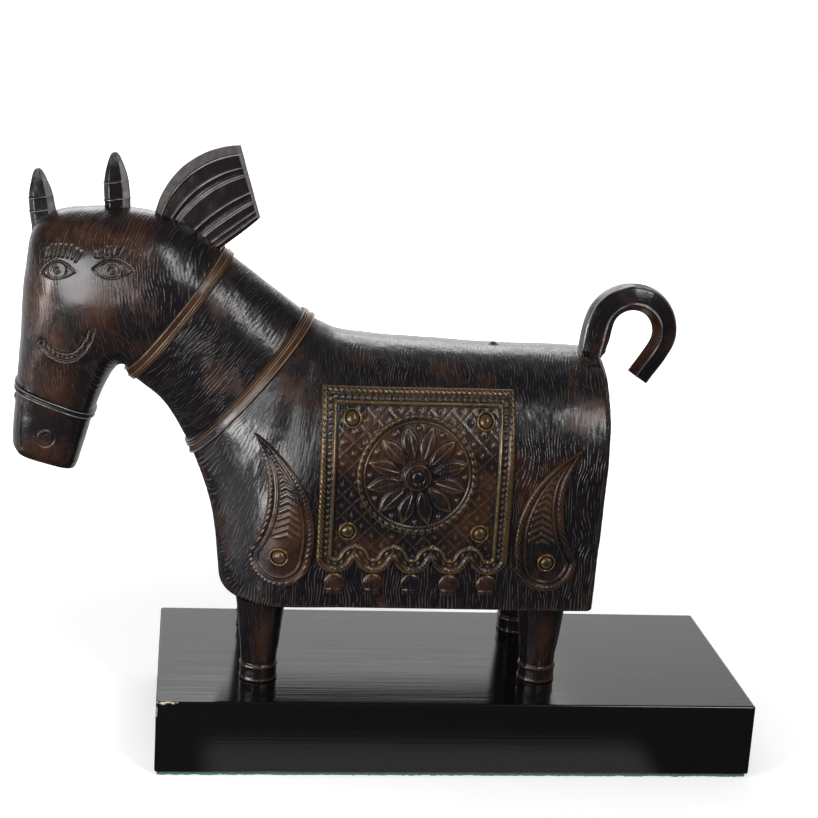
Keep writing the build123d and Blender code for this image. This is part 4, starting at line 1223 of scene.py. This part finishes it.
def finer(half, fine_ends):
    """Grid lines from -half to half, close together at the ends."""
    edge = np.linspace(0, PLINTH_EDGE, 5)
    near = PLINTH_EDGE + np.linspace(0.6, fine_ends, int(fine_ends / 0.6))
    middle = np.linspace(-half + near[-1] + 4, half - near[-1] - 4, max(int(half / 5), 3))
    ends = np.concatenate((edge, near))
    return np.concatenate((-half + ends, middle, half - ends[::-1]))


def make_plinth():
    lines = [finer(half, reach) for half, reach in zip(PLINTH_HALF, (16.0, 8.0, 12.0))]
    groups = []
    for axis in range(3):
        first, second = [k for k in range(3) if k != axis]
        u, v = np.meshgrid(lines[first], lines[second], indexing="ij")
        for sign in (-1, 1):
            face = np.empty(u.shape + (3,))
            face[..., first], face[..., second], face[..., axis] = u, v, sign * PLINTH_HALF[axis]
            core = np.clip(face, -(PLINTH_HALF - PLINTH_EDGE), PLINTH_HALF - PLINTH_EDGE)
            away = face - core
            face = core + PLINTH_EDGE * away / np.maximum(np.linalg.norm(away, axis=-1, keepdims=True), 1e-9)
            quads = grid_faces(*u.shape, False)
            swap = (sign > 0) == (axis == 1)
            groups.append((face + PLINTH_MIDDLE, quads[:, ::-1] if swap else quads, face))
    mesh = made("plinth", *groups)
    # the lacquer is chipped at the near left corner of the top, along two edges there, and along the foot
    at = places(mesh) - PLINTH_MIDDLE
    corner = np.abs(at - PLINTH_HALF * (-1, -1, 1))
    on_edge = np.sort(PLINTH_HALF - np.abs(at), axis=1)[:, 1]
    ragged = noise(places(mesh), 1.3) + 0.5 * noise(places(mesh), 4.0)
    top_run = (corner[:, 1] < 2) & (corner[:, 2] < 2) & (corner[:, 0] < 11)
    down_run = (corner[:, 1] < 2) & (corner[:, 0] < 2) & (corner[:, 2] < 9)
    foot_run = (at[:, 2] < -PLINTH_HALF[2] + 1.5) & (at[:, 1] < -PLINTH_HALF[1] + 1.5)
    runs = unit((0.75 + 0.8 * ragged - on_edge) / 0.5) * (top_run | down_run)
    tip = unit((1.6 + 0.7 * ragged - np.linalg.norm(corner, axis=1)) / 0.6)
    foot = unit((0.5 + ragged - on_edge - 0.9) / 0.4) * foot_run
    chip = np.max((runs, tip, foot), axis=0)
    put(mesh, places(mesh) - directions(mesh) * (CHIP_DEPTH * chip)[:, None])
    placed("plinth", mesh, LACQUER, "plinth", chip=chip)


def make_felt():
    corners = np.array(((-1, -1), (1, -1), (1, 1), (-1, 1), (-1, -1))) * FELT_HALF
    sides = zip(corners, corners[1:], (420, 170, 420, 170))
    outline = np.concatenate([np.linspace(a, b, count, endpoint=False) for a, b, count in sides])
    flat = np.pad(outline, ((0, 0), (0, 1)))
    fray = 0.45 * noise(flat, 1.6) + 0.35 * noise(flat, 6.0)
    outwards = np.where(np.abs(np.abs(outline) - FELT_HALF) < 1e-6, np.sign(outline), 0)
    rows = [(outline + (fray[:, None] + out) * outwards, rise) for out, rise in FELT_EDGE]
    rows = [(0.9 * outline, 0.0), *rows, (0.9 * outline, FELT_THICK)]
    points = np.stack([np.column_stack((line, np.full(len(line), rise))) for line, rise in rows])
    low, high = capped(points[0], 3)[::-1], capped(points[-1], 3)
    mesh = made("base_felt", *(grid(part, part) for part in (low, points, high)))
    placed("base_felt", mesh, FELT, "base_felt")


make_plinth()
make_felt()
for hidden, material in (("belly_plate", BRONZE[0]), ("foot_screws", STEEL), ("foot_washers", STEEL)):
    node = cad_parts[hidden]
    node.data.materials.clear()
    node.data.materials.append(material)


# Floor, light and camera, in metres

FLOOR_HALF = 6.0
# the painted reflection's strip, a glow that only mirrors see: where its left, right and front edges begin
# and end to fade
PAINTED_REFLECTION_STRIP = (("X", -0.135, -0.118), ("X", 0.112, 0.095), ("Y", -0.118, -0.085))
# place, aim, width and height, and power in watts
SOFT_BOXES = {
    "face_box": ((-0.282, -0.32, 0.262), (-0.200, -0.03, 0.240), (0.16, 0.25), 0.66),
    "chest_box": ((-0.85, -0.52, 0.09), (-0.116, -0.02, 0.165), (0.25, 0.40), 4.8),
    "right_box": ((0.56, -0.98, 1.05), (0.06, -0.03, 0.17), (0.16, 0.80), 7.0),
    "top_box": ((-0.1, 1.15, 0.95), (0, 0, 0.15), (1.0, 0.5), 4.0),
}
# degrees, and the focal length in widths of the picture
CAMERA_YAW, CAMERA_PITCH, CAMERA_ROLL = 7.412, 14.888, 3.592
CAMERA_FOCUS = 1786.92 / 818
SENSOR_WIDTH = 36.0


# White paper: seen directly it grows brighter outwards. In mirrors it is a painted reflection: a dark studio
# floor that glows in a strip in front of the plinth and in a pale wedge far on the left.
def make_floor():
    material, add = blank(bpy.data.materials.new("paper_sweep"))
    path = add("LightPath")
    place = add("TexCoord")["Object"]
    spot = add("SeparateXYZ", [place])
    paper = add("BsdfDiffuse", {"Color": tone("#f4f4f4")})[0]
    reach = add("VectorMath", [place], operation="LENGTH")["Value"]
    far = add("MapRange", [reach, 0.25, 1.0, 0.32, 1.0])[0]
    direct = add("AddShader", [paper, add("Emission", {"Strength": far})[0]])[0]
    strip = 1.0
    for axis, start, end in PAINTED_REFLECTION_STRIP:
        fade = add("MapRange", [spot[axis], start, end], interpolation_type="SMOOTHSTEP")[0]
        strip = add("Math", [strip, fade], operation="MULTIPLY")[0]
    strip = add("Math", [strip, 0.5, 0.05], operation="MULTIPLY_ADD")[0]
    left = add("MapRange", [spot["X"], -0.34, -0.46, 0.0, 0.75])[0]
    slope = add("Math", [spot["Y"], spot["X"]], operation="DIVIDE")[0]
    beside = add("MapRange", [slope, 0.36, 0.2])[0]
    wedge = add("Math", [left, beside], operation="MULTIPLY")[0]
    painted_reflection_glow = add("Math", [strip, wedge], operation="MAXIMUM")[0]
    # painted reflection: glossy rays see the floor glowing in this pattern, not the paper
    painted_floor_reflection = add("Emission", {"Strength": painted_reflection_glow})[0]
    shown = add("MixShader", [path["Is Camera Ray"], paper, direct])[0]
    shown = add("MixShader", [path["Is Glossy Ray"], shown, painted_floor_reflection])[0]
    add("OutputMaterial", {"Surface": shown})
    mesh = bpy.data.meshes.new("floor")
    corners = [(x * FLOOR_HALF, y * FLOOR_HALF, 0) for x, y in ((-1, -1), (1, -1), (1, 1), (-1, 1))]
    mesh.from_pydata(corners, [], [(0, 1, 2, 3)])
    mesh.materials.append(material)
    floor = bpy.data.objects.new("floor", mesh)
    bpy.context.scene.collection.objects.link(floor)


# The studio: white to the camera, even grey light on matt things, and in mirrors dark behind the camera,
# growing to a bright wall at the back.
def make_world():
    world, add = blank(bpy.data.worlds.new("studio"))
    bpy.context.scene.world = world
    path = add("LightPath")
    back = add("SeparateXYZ", [add("TexCoord")["Generated"]])["Y"]
    dim = add("MapRange", [back, 0.16, 0.72, 0.09, 0.45])[0]
    bright = add("MapRange", [back, 0.72, 0.94, 0.0, 0.85])[0]
    wall = add("Math", [dim, bright], operation="ADD")[0]
    shown = path["Is Camera Ray"]
    for ray in ("Is Glossy Ray", "Is Transmission Ray"):
        shown = add("Math", [shown, path[ray]], operation="MAXIMUM")[0]
    seen = add("Mix", {0: path["Is Camera Ray"], 6: wall, 7: (1, 1, 1, 1)}, data_type="RGBA")[2]
    colour = add("Mix", {0: shown, 6: (0.5, 0.5, 0.51, 1), 7: seen}, data_type="RGBA")[2]
    add("OutputWorld", {"Surface": add("Background", {"Color": colour})[0]})


def soft_box(name, at, aim, size, power):
    light = bpy.data.lights.new(name, "AREA")
    light.shape = "RECTANGLE"
    light.size, light.size_y = size
    light.energy = power
    lamp = bpy.data.objects.new(name, light)
    lamp.location = at
    lamp.rotation_mode = "QUATERNION"
    lamp.rotation_quaternion = (Vector(aim) - Vector(at)).to_track_quat("-Z", "Y")
    bpy.context.scene.collection.objects.link(lamp)


def make_camera():
    yaw, pitch, roll = radians(CAMERA_YAW), radians(CAMERA_PITCH), radians(CAMERA_ROLL)
    ahead = Vector((sin(yaw) * cos(pitch), cos(yaw) * cos(pitch), -sin(pitch)))
    level = Vector((cos(yaw), -sin(yaw), 0))
    upright = level.cross(ahead)
    across = cos(roll) * level + sin(roll) * upright
    above = cos(roll) * upright - sin(roll) * level
    lens = bpy.data.cameras.new("camera")
    lens.sensor_width = SENSOR_WIDTH
    lens.lens = SENSOR_WIDTH * CAMERA_FOCUS
    lens.clip_end = 50.0
    camera = bpy.data.objects.new("camera", lens)
    turned = Matrix((across, above, -ahead)).transposed().to_4x4()
    turned.translation = Vector(CAMERA_AT) * MM
    camera.matrix_world = turned
    bpy.context.scene.collection.objects.link(camera)
    bpy.context.scene.camera = camera


make_floor()
make_world()
for name, settings in SOFT_BOXES.items():
    soft_box(name, *settings)
make_camera()
bpy.context.scene.view_settings.view_transform = "Standard"
